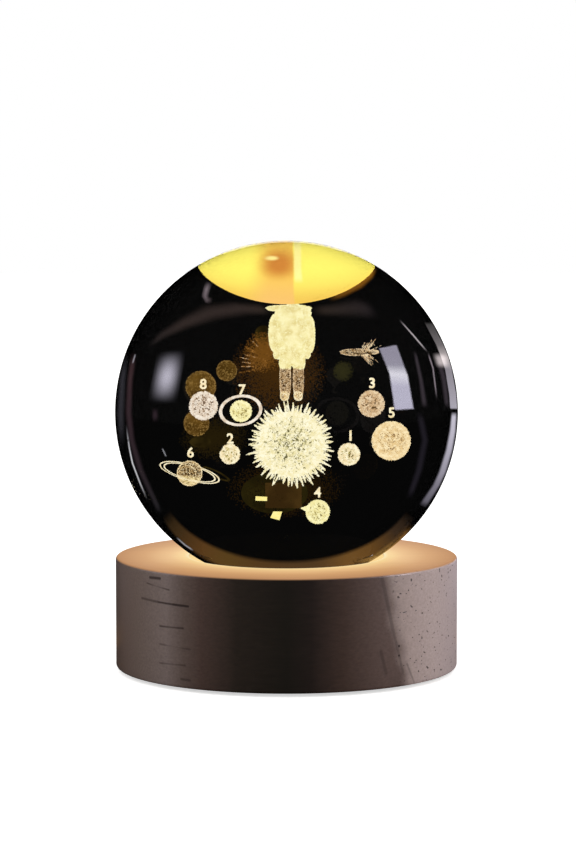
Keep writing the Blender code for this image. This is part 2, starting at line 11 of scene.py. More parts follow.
import bpy
import numpy as np
from mathutils import Euler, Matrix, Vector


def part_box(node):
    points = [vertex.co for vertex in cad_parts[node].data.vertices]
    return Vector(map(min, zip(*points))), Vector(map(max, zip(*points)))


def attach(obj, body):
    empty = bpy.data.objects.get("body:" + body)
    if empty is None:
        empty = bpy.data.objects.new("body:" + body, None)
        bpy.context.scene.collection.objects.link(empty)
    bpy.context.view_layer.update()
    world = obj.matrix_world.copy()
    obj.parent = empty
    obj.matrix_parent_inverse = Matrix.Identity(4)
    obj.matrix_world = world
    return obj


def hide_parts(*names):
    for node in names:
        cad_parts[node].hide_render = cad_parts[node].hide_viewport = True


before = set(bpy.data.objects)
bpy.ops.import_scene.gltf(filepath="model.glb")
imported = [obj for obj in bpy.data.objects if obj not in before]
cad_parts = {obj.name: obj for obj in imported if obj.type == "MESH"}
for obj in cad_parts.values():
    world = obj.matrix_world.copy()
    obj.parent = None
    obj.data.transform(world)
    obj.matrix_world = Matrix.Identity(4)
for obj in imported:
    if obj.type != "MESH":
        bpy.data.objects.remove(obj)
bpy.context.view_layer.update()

# %% [markdown]
# ## Measures
#
# The frame already knows every size, so the ball and the base are read from it. Only the thin
# clearances of a wood turner and a glass grinder are written here.

# %% Sizes read from the frame
MM = 0.001
FIT_GAP = 0.3 * MM

ball_low, ball_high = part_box("crystal_globe")
base_low, base_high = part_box("wooden_base")
RADIUS = (ball_high.x - ball_low.x) / 2
CENTRE = np.array([0.0, 0.0, ball_high.z - RADIUS])
BASE_RADIUS = (base_high.x - base_low.x) / 2
BASE_TOP = base_high.z
base_height = BASE_TOP - base_low.z
print(f"ball {2 * RADIUS / MM:.1f} mm, base {2 * BASE_RADIUS / MM:.1f} x {base_height / MM:.1f} mm")

# %% [markdown]
# ## The camera
#
# The photograph was taken from about 75 cm away, a little above the ball. The ball's outline is a
# circle in it, so its radius in pixels gives the lens, and its centre tells where the camera aims.
# The camera comes first, because the engraving is placed through it.

# %% The camera
PHOTO_SIZE = np.array([576, 864])
BALL_PIXEL = np.array([286.5, 412.0])
BALL_PIXELS = 171.5
CAMERA_DISTANCE = 755 * MM
CAMERA_ABOVE_BALL = 67.4 * MM
SENSOR = 36.0

eye = CENTRE + np.array([0.0, -CAMERA_DISTANCE, CAMERA_ABOVE_BALL])
focal_pixels = BALL_PIXELS / tan(asin(RADIUS / hypot(CAMERA_DISTANCE, CAMERA_ABOVE_BALL)))
off_centre = (PHOTO_SIZE / 2 - BALL_PIXEL) / focal_pixels
tilt = atan(CAMERA_ABOVE_BALL / CAMERA_DISTANCE) + atan(off_centre[1])
turn = Euler((pi / 2 - tilt, 0, -atan(off_centre[0])))

camera = bpy.data.objects.new("camera", bpy.data.cameras.new("camera"))
bpy.context.scene.collection.objects.link(camera)
camera.location = eye
camera.rotation_euler = turn
camera.data.sensor_width = SENSOR
camera.data.lens = focal_pixels * SENSOR / max(PHOTO_SIZE)
bpy.context.scene.camera = camera
print(f"lens {camera.data.lens:.1f} mm, tilted down {tilt / radians(1):.2f} degrees")

# %% [markdown]
# ## Seeing into glass
#
# A solid ball is a strong lens: what lies inside it looks half as large again and shifted. To put
# an engraved planet where the photograph shows it, the camera's ray is followed through its pixel,
# bent by Snell's law where it meets the ball, and run on to the depth that the planet lies at.
# Every point of the engraving goes this way, so the lens is undone exactly.

# %% Rays through pixels
GLASS_IOR = 1.52


def rays_through(px, py):
    """Unit directions from the eye through pixels: (x, y, -focal length), turned as the camera is."""
    px, py = np.broadcast_arrays(np.asarray(px, float), np.asarray(py, float))
    half = PHOTO_SIZE / 2
    local = np.stack([px - half[0], half[1] - py, np.full(px.shape, -focal_pixels)], -1)
    rays = local @ np.array(turn.to_matrix()).T
    return rays / np.linalg.norm(rays, axis=-1, keepdims=True)


def first_touch(rays):
    """Where rays from the eye first meet the ball, and the outward normals there.

    With m = eye - centre and b = m . ray, the distance along the ray is -b - sqrt(b^2 - |m|^2 + R^2).
    """
    m = eye - CENTRE
    b = rays @ m
    along = -b - np.sqrt(np.maximum(b**2 - m @ m + RADIUS**2, 0))
    points = eye + rays * along[..., None]
    return points, (points - CENTRE) / RADIUS


def into_glass(px, py, depth):
    """Points inside the ball on the upright planes y = depth that are seen at the given pixels.

    Snell's law for unit vectors: with k = 1 / ior and c = -ray . normal, the bent ray is
    k ray + (k c - sqrt(1 - k^2 (1 - c^2))) normal.
    """
    rays = rays_through(px, py)
    points, normals = first_touch(rays)
    k = 1 / GLASS_IOR
    c = -(rays * normals).sum(-1, keepdims=True)
    bent = k * rays + (k * c - np.sqrt(1 - k**2 * (1 - c**2))) * normals
    return points + bent * ((depth - points[..., 1]) / bent[..., 1])[..., None]


side_points = into_glass([BALL_PIXEL[0] - 10, BALL_PIXEL[0] + 10], BALL_PIXEL[1], 0.0)
PIXEL = (side_points[1, 0] - side_points[0, 0]) / 20
print(f"one pixel is {PIXEL / MM:.3f} mm at the ball's centre")

# %% [markdown]
# ## Small tools
#
# Colours are written as sRGB hex codes, as a paint chart gives them, and turned to linear light
# once. One function adds a node, one makes a finish, and one makes a mesh from arrays.

# %% Colours, nodes and finishes
SMOOTH = {"interpolation_type": "SMOOTHSTEP"}


def colour(code):
    """Linear RGBA of an sRGB hex code: c / 12.92 below 0.04045, else ((c + 0.055) / 1.055)^2.4."""
    parts = np.array([int(code[i : i + 2], 16) for i in (1, 3, 5)]) / 255
    linear = np.where(parts <= 0.04045, parts / 12.92, ((parts + 0.055) / 1.055) ** 2.4)
    return (*linear.tolist(), 1.0)


def out_of(value):
    """A node's first working output; anything else as it is."""
    return next(s for s in value.outputs if s.enabled) if isinstance(value, bpy.types.Node) else value


def add_node(tree, kind, *values, stops=(), **settings):
    """Adds a shader node. Settings are its properties, and values fill its inputs from the top.

    kind is its type's name after ShaderNode. A node or a socket is linked, a hex code becomes a
    colour, None leaves an input alone, and a number or a vector is written. stops are the
    (position, hex code) rows of a colour ramp.
    """
    node = tree.nodes.new("ShaderNode" + kind)
    for name, value in settings.items():
        setattr(node, name, value)
    for socket, value in zip([s for s in node.inputs if s.enabled], map(out_of, values)):
        if isinstance(value, bpy.types.NodeSocket):
            tree.links.new(value, socket)
        elif value is not None:
            socket.default_value = colour(value) if isinstance(value, str) else value
    for number, (position, code) in enumerate(stops):
        marks = node.color_ramp.elements
        mark = marks[number] if number < 2 else marks.new(position)
        mark.position, mark.color = position, colour(code)
    return node


def finish_of(name, plain, pattern=None):
    """A material on one Principled shader. plain holds its inputs' values.

    pattern(add) returns the nodes that drive inputs, where add is add_node for this material's tree.
    """
    material = bpy.data.materials.new(name)
    material.use_nodes = True
    tree = material.node_tree
    shader = tree.nodes["Principled BSDF"]
    for key, value in plain.items():
        shader.inputs[key].default_value = colour(value) if isinstance(value, str) else value
    for key, node in (pattern(partial(add_node, tree)) if pattern else {}).items():
        tree.links.new(out_of(node), shader.inputs[key])
    return material


def millimetres(add, size=(1, 1, 1)):
    """Object coordinates counted in patches of the given size in millimetres along each axis."""
    place = add("TexCoord").outputs["Object"]
    scale = tuple(1 / (width * MM) for width in size)
    return add("VectorMath", place, scale, operation="MULTIPLY")


# %% Meshes from arrays
SHARP_ANGLE = radians(40)


def new_object(name, points, faces, material=None):
    """An object at the origin: points are places, and faces are rows of corner numbers."""
    mesh = bpy.data.meshes.new(name)
    mesh.from_pydata(np.asarray(points, np.float32), [], np.asarray(faces).tolist())
    if material:
        mesh.materials.append(material)
    thing = bpy.data.objects.new(name, mesh)
    bpy.context.scene.collection.objects.link(thing)
    return thing


def piece(name, points, faces, material, body, slot, smooth=True):
    """A piece that rides on a body. Where it is smooth, edges sharper than 40 degrees stay crisp."""
    thing = new_object(name, points, faces, material)
    if smooth:
        thing.data.shade_smooth()
        thing.data.set_sharp_from_angle(angle=SHARP_ANGLE)
    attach(thing, body)
    return thing


def arc(centre, radius, start, end, steps):
    """Outline points on an arc, (radius, height) = centre + r (cos a, sin a), a in degrees."""
    a = np.radians(np.linspace(start, end, steps + 1))
    return np.stack([centre[0] + radius * np.cos(a), centre[1] + radius * np.sin(a)], 1)


def turned(outline, sides):
    """Turns an outline of (radius, height) rows about Z: row i at angle a is (r cos a, r sin a, z).

    The outline runs anticlockwise, seen with the axis on its left. If it starts and ends on the
    axis, each end is one point; otherwise the last row meets the first. All faces are triangles.
    """
    outline = np.asarray(outline, float)
    poles = abs(outline[0, 0]) < 1e-9
    rows = outline[1:-1] if poles else outline
    a = 2 * np.pi * np.arange(sides) / sides
    heights = np.outer(rows[:, 1], np.ones(sides))
    grid = np.stack([np.outer(rows[:, 0], np.cos(a)), np.outer(rows[:, 0], np.sin(a)), heights], -1)
    number = np.arange(len(rows) * sides).reshape(len(rows), sides)
    here, there = (number[:-1], number[1:]) if poles else (number, np.roll(number, -1, 0))
    quads = np.stack([here, np.roll(here, -1, 1), np.roll(there, -1, 1), there], -1).reshape(-1, 4)
    points, faces = grid.reshape(-1, 3), [quads[:, [0, 1, 2]], quads[:, [0, 2, 3]]]
    if poles:
        low, high = np.full(sides, len(points)), np.full(sides, len(points) + 1)
        faces.append(np.stack([low, np.roll(number[0], -1), number[0]], -1))
        faces.append(np.stack([high, number[-1], np.roll(number[-1], -1)], -1))
        points = np.concatenate([points, [[0, 0, outline[0, 1]], [0, 0, outline[-1, 1]]]])
    return points, np.concatenate(faces)


# %% [markdown]
# ## The glass ball
#
# The real ball is clear crown glass, cast, ground and polished, with a flat ground underneath. It
# was photographed in a dark room, which it shows as black. In front of a white backdrop clear
# glass would turn white, so this glass carries a deep smoke tint: light that enters or leaves is
# dimmed by the root of the base colour. What glows inside is dimmed once, and the backdrop behind
# the ball twice, so the ball stays black while the engraving shines. A dimmed specular tint keeps
# the room from veiling it.

# %% The glass ball
GLASS_TINT, SURFACE_PASSES = 0.002, 0.957
MIRROR_TINT = "#504d54"
FLAT_CHAMFER = 0.4 * MM
FLAT_RADIUS = 14.0 * MM

crown_glass = finish_of(
    "crown glass, polished",
    {
        "Base Color": (GLASS_TINT, GLASS_TINT, GLASS_TINT, 1.0),
        "Roughness": 0.0,
        "IOR": GLASS_IOR,
        "Transmission Weight": 1.0,
        "Specular Tint": MIRROR_TINT,
    },
)
THROUGH_GLASS = sqrt(GLASS_TINT) * SURFACE_PASSES

low_angle = asin((ball_low.z + FLAT_CHAMFER - CENTRE[2]) / RADIUS) / radians(1)
ball_outline = np.concatenate(
    [
        [(0, ball_low.z), (FLAT_RADIUS - FLAT_CHAMFER, ball_low.z)],
        arc((0, CENTRE[2]), RADIUS, low_angle, 0, 60),
        arc((0, CENTRE[2]), RADIUS, 0, 90, 78)[1:],
    ]
)
ball_outline[-1, 0] = 0
globe = piece("globe_glass", *turned(ball_outline, 256), crown_glass, "globe", "crown_glass")
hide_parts("crystal_globe")
print("glass ball:", len(globe.data.polygons), "faces")

# %% [markdown]
# ## The engraving
#
# A laser focused inside the glass leaves a tiny crack at each point it is aimed at, and thousands
# of them make a shape. They could be drawn as a bumpy surface, but each crack here is a body of
# its own, a tetrahedron, so that the shapes thin out and fray at their edges as they do in real
# glass. The lamps' light on them is plain emission, raised by as much as the tinted glass takes
# away. Real cracks are a few hundredths of a millimetre wide; these are coarser, so that they show.

# %% Cracks in glass
CRACK, FINE_CRACK = 0.12 * MM, 0.10 * MM
UNLIT = {"Base Color": "#000000", "Specular IOR Level": 0.0}
rng = np.random.default_rng(7)


def glow_finish(name, bright, dark, patch=0.7, edges=(0.38, 0.60)):
    """A finish that glows through the glass, from dark to bright in patches so many mm across."""

    def patches(add):
        spots = add("TexNoise", millimetres(add, (patch,) * 3), 1.0, 3.0)
        stops = ((edges[0], dark), (edges[1], bright))
        return {"Emission Color": add("ValToRGB", spots, stops=stops)}

    return finish_of(name, {**UNLIT, "Roughness": 1.0, "Emission Strength": 1 / THROUGH_GLASS}, patches)


def seen_at(centre, depth, offsets):
    """Pixels and depths of offsets (across, away, up), counted in pixels from a motif's centre."""
    offsets = offsets.reshape(-1, 3)
    return centre[0] + offsets[:, 0], centre[1] - offsets[:, 2], depth + offsets[:, 1] * PIXEL


def cracks(name, px, py, depth, finish, size=CRACK):
    """Engraves a tetrahedron of about the given size at each pixel and depth."""
    points = into_glass(px, py, depth)
    reach = np.linalg.norm(points - CENTRE, axis=-1).max() / RADIUS
    corners = np.array([(1, 1, 1), (1, -1, -1), (-1, 1, -1), (-1, -1, 1)]) / 2
    flip = rng.choice([-1.0, 1.0], (len(points), 1, 3))
    flip[:, 0, 2] = flip[:, 0, 0] * flip[:, 0, 1]
    places = points[:, None, :] + corners * flip * size * rng.uniform(0.7, 1.3, (len(points), 1, 1))
    sides = np.array([(0, 1, 2), (0, 3, 1), (0, 2, 3), (1, 3, 2)])
    faces = (sides[None] + 4 * np.arange(len(points))[:, None, None]).reshape(-1, 3)
    piece(name, places.reshape(-1, 3), faces, finish, "globe", "glass_engraving", smooth=False)
    print(f"{name}: {len(points)} cracks, out to {reach:.2f} of the ball's radius")


# %% [markdown]
# ## Fillings
#
# Where the laser fills a shape, the cracks stand so close that they hide each other, and drawing
# them one by one would waste them. The inside of each filled shape is one closed surface instead,
# a ball or a blunted ellipsoid, and loose cracks cover it.

# %% Fillings
unit_outline = arc((0, 0), 1, -90, 90, 28)
unit_outline[[0, -1], 0] = 0
unit_points, unit_faces = turned(unit_outline, 56)


def filling(name, rows, depth, finish, blunt=1.0):
    """Closed ellipsoids: pixel = centre + (across x, -up z), depth = depth + deep y, for unit (x, y, z).

    Each row is (x, y, across, up, deep) in pixels. A power below 1 on x, y and z blunts the ends.
    """
    shape = np.sign(unit_points) * np.abs(unit_points) ** blunt
    shape /= np.linalg.norm(shape, axis=1, keepdims=True) ** (1 - blunt)
    rows = np.array(rows, float)
    px = rows[:, 0, None] + rows[:, 2, None] * shape[:, 0]
    py = rows[:, 1, None] - rows[:, 3, None] * shape[:, 2]
    away = depth + rows[:, 4, None] * PIXEL * shape[:, 1]
    faces = unit_faces[None] + len(unit_points) * np.arange(len(rows))[:, None, None]
    points = into_glass(px, py, away).reshape(-1, 3)
    piece(name, points, faces.reshape(-1, 3), finish, "globe", "glass_engraving")


def on_sphere(count):
    """Random directions, spread evenly over a sphere: z is uniform, and so is the angle about it."""
    z = rng.uniform(-1, 1, count)
    a = rng.uniform(0, 2 * np.pi, count)
    r = np.sqrt(1 - z**2)
    return np.stack([r * np.cos(a), r * np.sin(a), z], 1)


WAVES = 16


def patchy(d, spread, keep):
    """True on the share keep of the points where a sum of plane waves cos(k . d + phase) is highest."""
    k = rng.normal(0, spread, (WAVES, 3))
    level = np.cos(d @ k.T + rng.uniform(0, 2 * np.pi, WAVES)).sum(-1)
    return level > np.quantile(level, 1 - keep)


# A crack's area in square pixels, and the size in pixels of the clumps that cracks stand in.
CRACK_AREA, PATCH_PIXELS = 0.34, 2.4


def cover_of_cracks(radius, cover, inner, keep=0.75):
    """Offsets of loose cracks between two balls, enough to cover the middle that many times over.

    Their number is cover x 4 pi r^2 / the area of a crack. Seen edge on they crowd, so the rim
    looks brightest, and where they leave small gaps the filling shows through.
    """
    mean = radius * (1 + inner) / 2
    d = on_sphere(int(cover * 4 * pi * mean**2 / CRACK_AREA / keep))
    d = d[patchy(d, 2 * pi * radius / PATCH_PIXELS / 3, keep)]
    return d * radius * rng.uniform(inner**3, 1, (len(d), 1)) ** (1 / 3)


# %% [markdown]
# ## The planets
#
# Eight small balls stand round the sun. Their pixels and radii come from the photograph, and
# their depths spread them round the sun, the lower ones nearer. Seven are made alike, as a filling
# in a shell of loose cracks, and the sixth follows with its rings.

# %% The planets
rose = glow_finish("micro-cracks, rose", "#f4ead9", "#d9c5ad")
tan_cracks = glow_finish("micro-cracks, tan", "#ead3ae", "#c9a679")
cream = glow_finish("micro-cracks, cream", "#fff5d2", "#eed9a8")
gold = glow_finish("micro-cracks, gold", "#fdeabd", "#e6c68c")
lemon = glow_finish("micro-cracks, lemon", "#fcf6c0", "#efe39d")

FINE = {"patch": 0.4, "edges": (0.42, 0.56)}
rose_fill = glow_finish("filled cracks, rose", "#ab9378", "#5b4632", **FINE)
tan_fill = glow_finish("filled cracks, tan", "#b8966c", "#57401f", **FINE)
gold_fill = glow_finish("filled cracks, gold", "#d9b87e", "#85623a", **FINE)
lemon_fill = glow_finish("filled cracks, lemon", "#cdbf7c", "#776838", **FINE)

# How far in the shell of cracks goes, and how far out the filling, as shares of the radius.
SHELL_INNER, FILLED = 0.74, 0.78
# Number from the sun: x, y and radius in pixels, depth in mm, cover, finishes of cracks and filling.
PLANETS = {
    1: (348.9, 454.3, 11.2, -5.0, 0.85, cream, lemon_fill),
    2: (229.9, 454.2, 10.2, -5.0, 0.85, cream, lemon_fill),
    3: (371.3, 403.8, 13.4, 7.0, 0.5, tan_cracks, tan_fill),
    4: (317.8, 511.9, 12.2, -11.0, 1.1, lemon, lemon_fill),
    5: (391.3, 440.9, 19.6, -2.0, 0.95, gold, gold_fill),
    7: (240.9, 411.0, 10.9, 5.0, 0.8, lemon, lemon_fill),
    8: (203.4, 405.7, 14.5, 6.0, 0.6, rose, rose_fill),
}

for number, (x, y, radius, depth, cover, finish, fill) in PLANETS.items():
    offsets = cover_of_cracks(radius, cover, SHELL_INNER)
    cracks(f"engraved_planet_{number}", *seen_at((x, y), depth * MM, offsets), finish)
    filling(f"planet_filling_{number}", [(x, y, *[radius * FILLED] * 3)], depth * MM, fill)

# The fourth planet has a small pointed bump at its left.
BUMP = [(307.2, 508.6, 4.6, 2.6, 3.0), (303.2, 508.3, 2.4, 1.1, 1.2)]
filling("planet_4_bump", BUMP, PLANETS[4][3] * MM, lemon)

# %% [markdown]
# ## Rings and the sixth planet
#
# Two planets have rings: flat bands of cracks, tilted so that they look like narrow ellipses. The
# sixth planet is engraved thinly, so it is dark above and paler below, with a bright outline.

# %% Rings and the sixth planet
PLANET_6 = (189.6, 473.3)
PLANET_6_RADIUS, PLANET_6_DEPTH, RING_CRACKS = 12.7, -7.0 * MM, 4200


def ring(name, centre, radii, width, squash, lean, depth, finish, count, size=CRACK):
    """A band of cracks: pixel offset = r (cos a, squash sin a), turned by lean degrees."""
    a = rng.uniform(0, 2 * np.pi, count)
    r = rng.choice(np.asarray(radii), count) + rng.uniform(-width / 2, width / 2, count)
    across, down, away = r * np.cos(a), -r * np.sin(a) * squash, r * np.sin(a) * sqrt(1 - squash**2)
    c, s = cos(radians(lean)), sin(radians(lean))
    offsets = np.stack([across * c - down * s, away, -across * s - down * c], 1)
    cracks(name, *seen_at(centre, depth, offsets), finish, size)


def two_zones(add):
    """Dark brown scribbles above, turning golden below the planet's middle."""
    height = add("SeparateXYZ", millimetres(add)).outputs["Z"]
    middle = into_glass(PLANET_6[0], PLANET_6[1] + 4, PLANET_6_DEPTH)[2] / MM
    low = add("MapRange", height, middle + 0.25, middle - 0.25, **SMOOTH)
    spots = add("TexNoise", millimetres(add, (0.9, 0.9, 0.25)), 1.0, 3.0)
    above = add("ValToRGB", spots, stops=((0.42, "#2c1c0b"), (0.58, "#7d5f33")))
    below = add("ValToRGB", spots, stops=((0.40, "#7a6030"), (0.55, "#e0cb8c")))
    return {"Emission Color": add("Mix", low, above, below, data_type="RGBA")}


dark_fill = finish_of("filled cracks, brown", {**UNLIT, "Emission Strength": 1 / THROUGH_GLASS}, two_zones)
filling("planet_filling_6", [(*PLANET_6, *[PLANET_6_RADIUS * 0.95] * 3)], PLANET_6_DEPTH, dark_fill)
offsets = cover_of_cracks(PLANET_6_RADIUS, 0.30, 0.95, keep=0.95)
cracks("engraved_planet_6", *seen_at(PLANET_6, PLANET_6_DEPTH, offsets), gold, FINE_CRACK)

# Both rings: centre and radii in pixels, width, squash, lean, depth, finish, number and size of cracks.
ring_6 = ((189.6, 472.4), (26.2, 30.4), 1.0, 0.26, 15.0, PLANET_6_DEPTH, cream, RING_CRACKS, FINE_CRACK)
ring_7 = ((240.6, 410.4), (20.2,), 2.6, 0.71, -8.0, PLANETS[7][3] * MM, rose, RING_CRACKS)
ring("engraved_ring_6", *ring_6)
ring("engraved_ring_7", *ring_7)

# %% [markdown]
# ## The sun
#
# A thick ball of cracks round a mottled filling, with thorns all round it. Each thorn is a bunch
# of needles, and each needle a line of cracks, crowded and scattered at its foot and thin at its
# tip, so the thorns are wide at the foot and ragged at the end.

# %% The sun
SUN = (291.6, 444.3)
SUN_CORE, SUN_TIP = 33.0, 46.5
THORNS, NEEDLES, CRACKS_PER_NEEDLE = 115, 10, 20
# How far a thorn's foot scatters, where thorns start, and how near the line of sight they come.
THORN_FOOT, THORN_ROOT, OPEN_MIDDLE = 1.7, SUN_CORE * 0.9, 0.84


def needles(starts, ends, per_needle, spread):
    """Cracks along needles: p = start + t (end - start), scattered by spread (1 - t), for t = u^1.3."""
    t = rng.uniform(0, 1, (len(starts), per_needle, 1)) ** 1.3
    points = starts[:, None] + (ends - starts)[:, None] * t
    return (points + rng.normal(0, spread, points.shape) * (1 - t)).reshape(-1, 3)


pale = glow_finish("micro-cracks, pale", "#fff9da", "#f0e4ae")
sun_fill = glow_finish("filled cracks, olive", "#d8cf98", "#625d3a", patch=0.45, edges=(0.42, 0.56))
cracks("engraved_sun", *seen_at(SUN, 0.0, cover_of_cracks(SUN_CORE, 0.62, 0.84, keep=0.7)), pale)
filling("sun_filling", [(*SUN, *[SUN_CORE * 0.86] * 3)], 0.0, sun_fill)

# The thorns stand on a spiral, each turned on by the golden angle, so they are evenly apart. None
# points straight at the viewer in front or behind, so the scribbled middle stays open.
step = np.arange(THORNS)
away, golden = 1 - (2 * step + 1) / THORNS, step * pi * (3 - sqrt(5))
flat = np.sqrt(1 - away**2)
ways = np.stack([flat * np.cos(golden), away, flat * np.sin(golden)], 1)
ways = np.repeat(ways[np.abs(away) < OPEN_MIDDLE], NEEDLES, 0)
tips = np.repeat(rng.uniform(SUN_TIP - 5, SUN_TIP + 1, (len(ways) // NEEDLES, 1)), NEEDLES, 0)
aside = rng.normal(0, THORN_FOOT, ways.shape)
starts = ways * SUN_CORE * 0.88 + aside
ends = ways * (THORN_ROOT + (tips - THORN_ROOT) * rng.uniform(0.7, 1.0, tips.shape)) + aside * 0.12
cracks("engraved_sun_thorns", *seen_at(SUN, 0.0, needles(starts, ends, CRACKS_PER_NEEDLE, 0.3)), pale)

# %% [markdown]
# ## The spaceman
#
# A plain figure in a padded suit: a flat pack behind the shoulders, a torso, arms, hips, legs and
# boots, all blunted ellipsoids. It ends above in the light under the crown. The legs are engraved
# thinly, so they look brown, with a pale outline.

# %% The spaceman
FIGURE_DEPTH, BLUNT = 1.0 * MM, 0.8

# Rows of x, y, half across, half up and half deep, in pixels.
SUIT = [
    (292.6, 331.0, 17.4, 23.0, 11.0),
    (275.8, 333.0, 7.0, 18.5, 7.0),
    (307.6, 334.5, 7.2, 19.0, 7.0),
    (277.0, 352.5, 3.6, 6.5, 4.0),
    (307.0, 352.5, 3.4, 6.0, 4.0),
    (291.8, 354.0, 12.6, 12.0, 9.0),
    (285.4, 360.5, 6.2, 11.0, 6.5),
    (298.7, 360.5, 6.2, 11.0, 6.5),
]
PACK = [
    (288.8, 308.3, 22.2, 3.1, 6.0),
    (293.0, 312.5, 17.8, 7.6, 8.0),
    (293.0, 306.5, 6.6, 3.6, 5.0),
]
LEGS = [(285.2, 379.0, 5.4, 20.0, 5.5), (298.4, 379.0, 5.2, 20.0, 5.5)]
BOOTS = [(284.6, 395.4, 4.2, 5.0, 6.5), (298.2, 395.4, 4.2, 5.0, 6.5)]


def padding(rows, cover):
    """Loose cracks over blunted ellipsoids: cover x 4 pi across up / the area of a crack for each."""
    made = []
    for x, y, across, up, deep in rows:
        d = on_sphere(int(cover * 4 * pi * across * up / CRACK_AREA))
        d = np.sign(d) * np.abs(d) ** BLUNT
        d /= np.linalg.norm(d, axis=1, keepdims=True) ** (1 - BLUNT)
        d *= rng.uniform(0.98, 1.04, (len(d), 1))
        made.append(seen_at((x, y), FIGURE_DEPTH, d * (across, deep, up)))
    return np.concatenate(made, 1)


suit_fill = glow_finish("filled cracks, suit", "#faf0b6", "#e2d18c", patch=1.5, edges=(0.40, 0.60))
leg_fill = glow_finish("filled cracks, legs", "#a2835a", "#4a3219", **FINE)
filling("suit_filling", SUIT + PACK, FIGURE_DEPTH, suit_fill, BLUNT)
filling("boot_filling", BOOTS, FIGURE_DEPTH, gold_fill, BLUNT)
filling("leg_filling", LEGS, FIGURE_DEPTH, leg_fill, BLUNT)
cracks("engraved_suit", *padding(SUIT + PACK, 0.35), lemon)
cracks("engraved_legs", *padding(LEGS, 0.34), tan_cracks, FINE_CRACK)
cracks("engraved_boots", *padding(BOOTS, 0.7), cream, FINE_CRACK)

# %% [markdown]
# ## The rocket
#
# A slim spindle with swept fins, flying to the left. Its hull is filled thinly and outlined
# brightly, and its fins are strokes of the laser.

# %% The rocket
# The hull: x, y, half across, half up and half deep, in pixels.
HULL = (356.5, 352.2, 16.2, 3.4, 3.4)
HULL_CRACKS, TAIL_CRACKS, FIN_STROKES = 460, 260, 26
hull_fill = glow_finish("filled cracks, hull", "#7d623c", "#2c1d0e", **FINE)

filling("rocket_filling", [(*HULL[:2], 15.4, 2.9, 2.9), (371.0, 352.4, 4.2, 2.2, 2.2)], 0.0, hull_fill)
hull = on_sphere(HULL_CRACKS) * (HULL[2], HULL[4], HULL[3]) * rng.uniform(0.97, 1.06, (HULL_CRACKS, 1))
# A fin's strokes start along the hull and sweep back, away and up. Every other one is turned over.
along, above = [rng.uniform(low, high, FIN_STROKES) for low, high in ((2, 13), (0.5, 2.5))]
sweep = np.stack([rng.uniform(low, high, FIN_STROKES) for low, high in ((5, 13), (-3, 3), (6, 14))], 1)
root = np.stack([along, 0 * along, above], 1)
side = np.where(np.arange(FIN_STROKES) % 2, 1, -1)
over = np.stack([side**2, side, side], 1)
fins = needles(root * over, (root * (1, 1, 0) + sweep) * over, 17, 0.6)
tail = on_sphere(TAIL_CRACKS) * (5.6, 2.2, 2.2) + (16.5, 0, 0.2)
cracks("engraved_rocket", *seen_at(HULL[:2], 0.0, np.concatenate([hull, fins, tail])), tan_cracks, FINE_CRACK)

# %% [markdown]
# ## Numerals
#
# Each planet is labelled. The labels here are plain numerals, counted from the sun. A numeral is
# first made a mesh, and then cracks are scattered evenly over its triangles.

# %% Numerals
NUMERAL_HEIGHT, NUMERAL_CRACKS, NUMERAL_CRACK, BOLDER = 10.0, 800, 0.09 * MM, 0.012
NUMERAL_PLACES = {
    1: (350.5, 435.6),
    2: (230.2, 438.4),
    3: (372.0, 383.0),
    4: (317.6, 492.4),
    5: (391.5, 412.6),
    6: (190.5, 452.4),
    7: (242.2, 389.6),
    8: (203.2, 384.0),
}


def glyph_points(text, count):
    """Points spread evenly over a glyph one unit high: p = a + u (b - a) + v (c - a) in triangle abc."""
    curve = bpy.data.curves.new("numeral", "FONT")
    curve.body = text
    curve.offset = BOLDER
    glyph = bpy.data.objects.new("numeral", curve)
    mesh = glyph.to_mesh()
    mesh.calc_loop_triangles()
    corners = np.empty(3 * len(mesh.vertices), np.float32)
    mesh.vertices.foreach_get("co", corners)
    corners = corners.reshape(-1, 3)[:, :2]
    triangles = np.empty(3 * len(mesh.loop_triangles), np.int32)
    mesh.loop_triangles.foreach_get("vertices", triangles)
    a, b, c = corners[triangles.reshape(-1, 3)].transpose(1, 0, 2)
    area = np.abs((b - a)[:, 0] * (c - a)[:, 1] - (b - a)[:, 1] * (c - a)[:, 0]).astype(float)
    chosen = rng.choice(len(area), count, p=area / area.sum())
    u, v = rng.uniform(size=(2, count))
    u, v = np.where(u + v > 1, 1 - u, u)[:, None], np.where(u + v > 1, 1 - v, v)[:, None]
    spread = a[chosen] + u * (b - a)[chosen] + v * (c - a)[chosen]
    low, high = corners.min(0), corners.max(0)
    glyph.to_mesh_clear()
    bpy.data.objects.remove(glyph)
    return (spread - (low + high) / 2) / (high[1] - low[1])


for number, centre in NUMERAL_PLACES.items():
    mark = glyph_points(str(number), NUMERAL_CRACKS) * NUMERAL_HEIGHT
    depth = PLANETS[number][3] * MM if number in PLANETS else PLANET_6_DEPTH
    offsets = np.insert(mark, 1, 0.0, axis=1)
    cracks(f"engraved_numeral_{number}", *seen_at(centre, depth, offsets), cream, NUMERAL_CRACK)

# %% [markdown]
# ## Second images
#
# The back of the ball mirrors the engraving weakly, so each bright shape at the left has a golden
# brown double. They could be left to the ray tracer, but the tinted glass would swallow them, so
# they are drawn: each planet's double as a dim filling with a thin outline of cracks, the sun's as
# a few rays, and the soft glows round them as clouds of loose dim cracks.

# %% Second images
amber_fill = glow_finish("second image, filling", "#624719", "#45310f", patch=2.4)
amber = glow_finish("second image, outline", "#8a6c38", "#5d441d")
dim_amber = glow_finish("second image, faint", "#33290e", "#1d1607", patch=2.4)

# Rows of x, y and radius in pixels.
GHOSTS = [(226.7, 370.6, 10.2), (200.8, 386.2, 15.2), (196.6, 423.2, 12.8)]
GHOST_DEPTH = 13 * MM

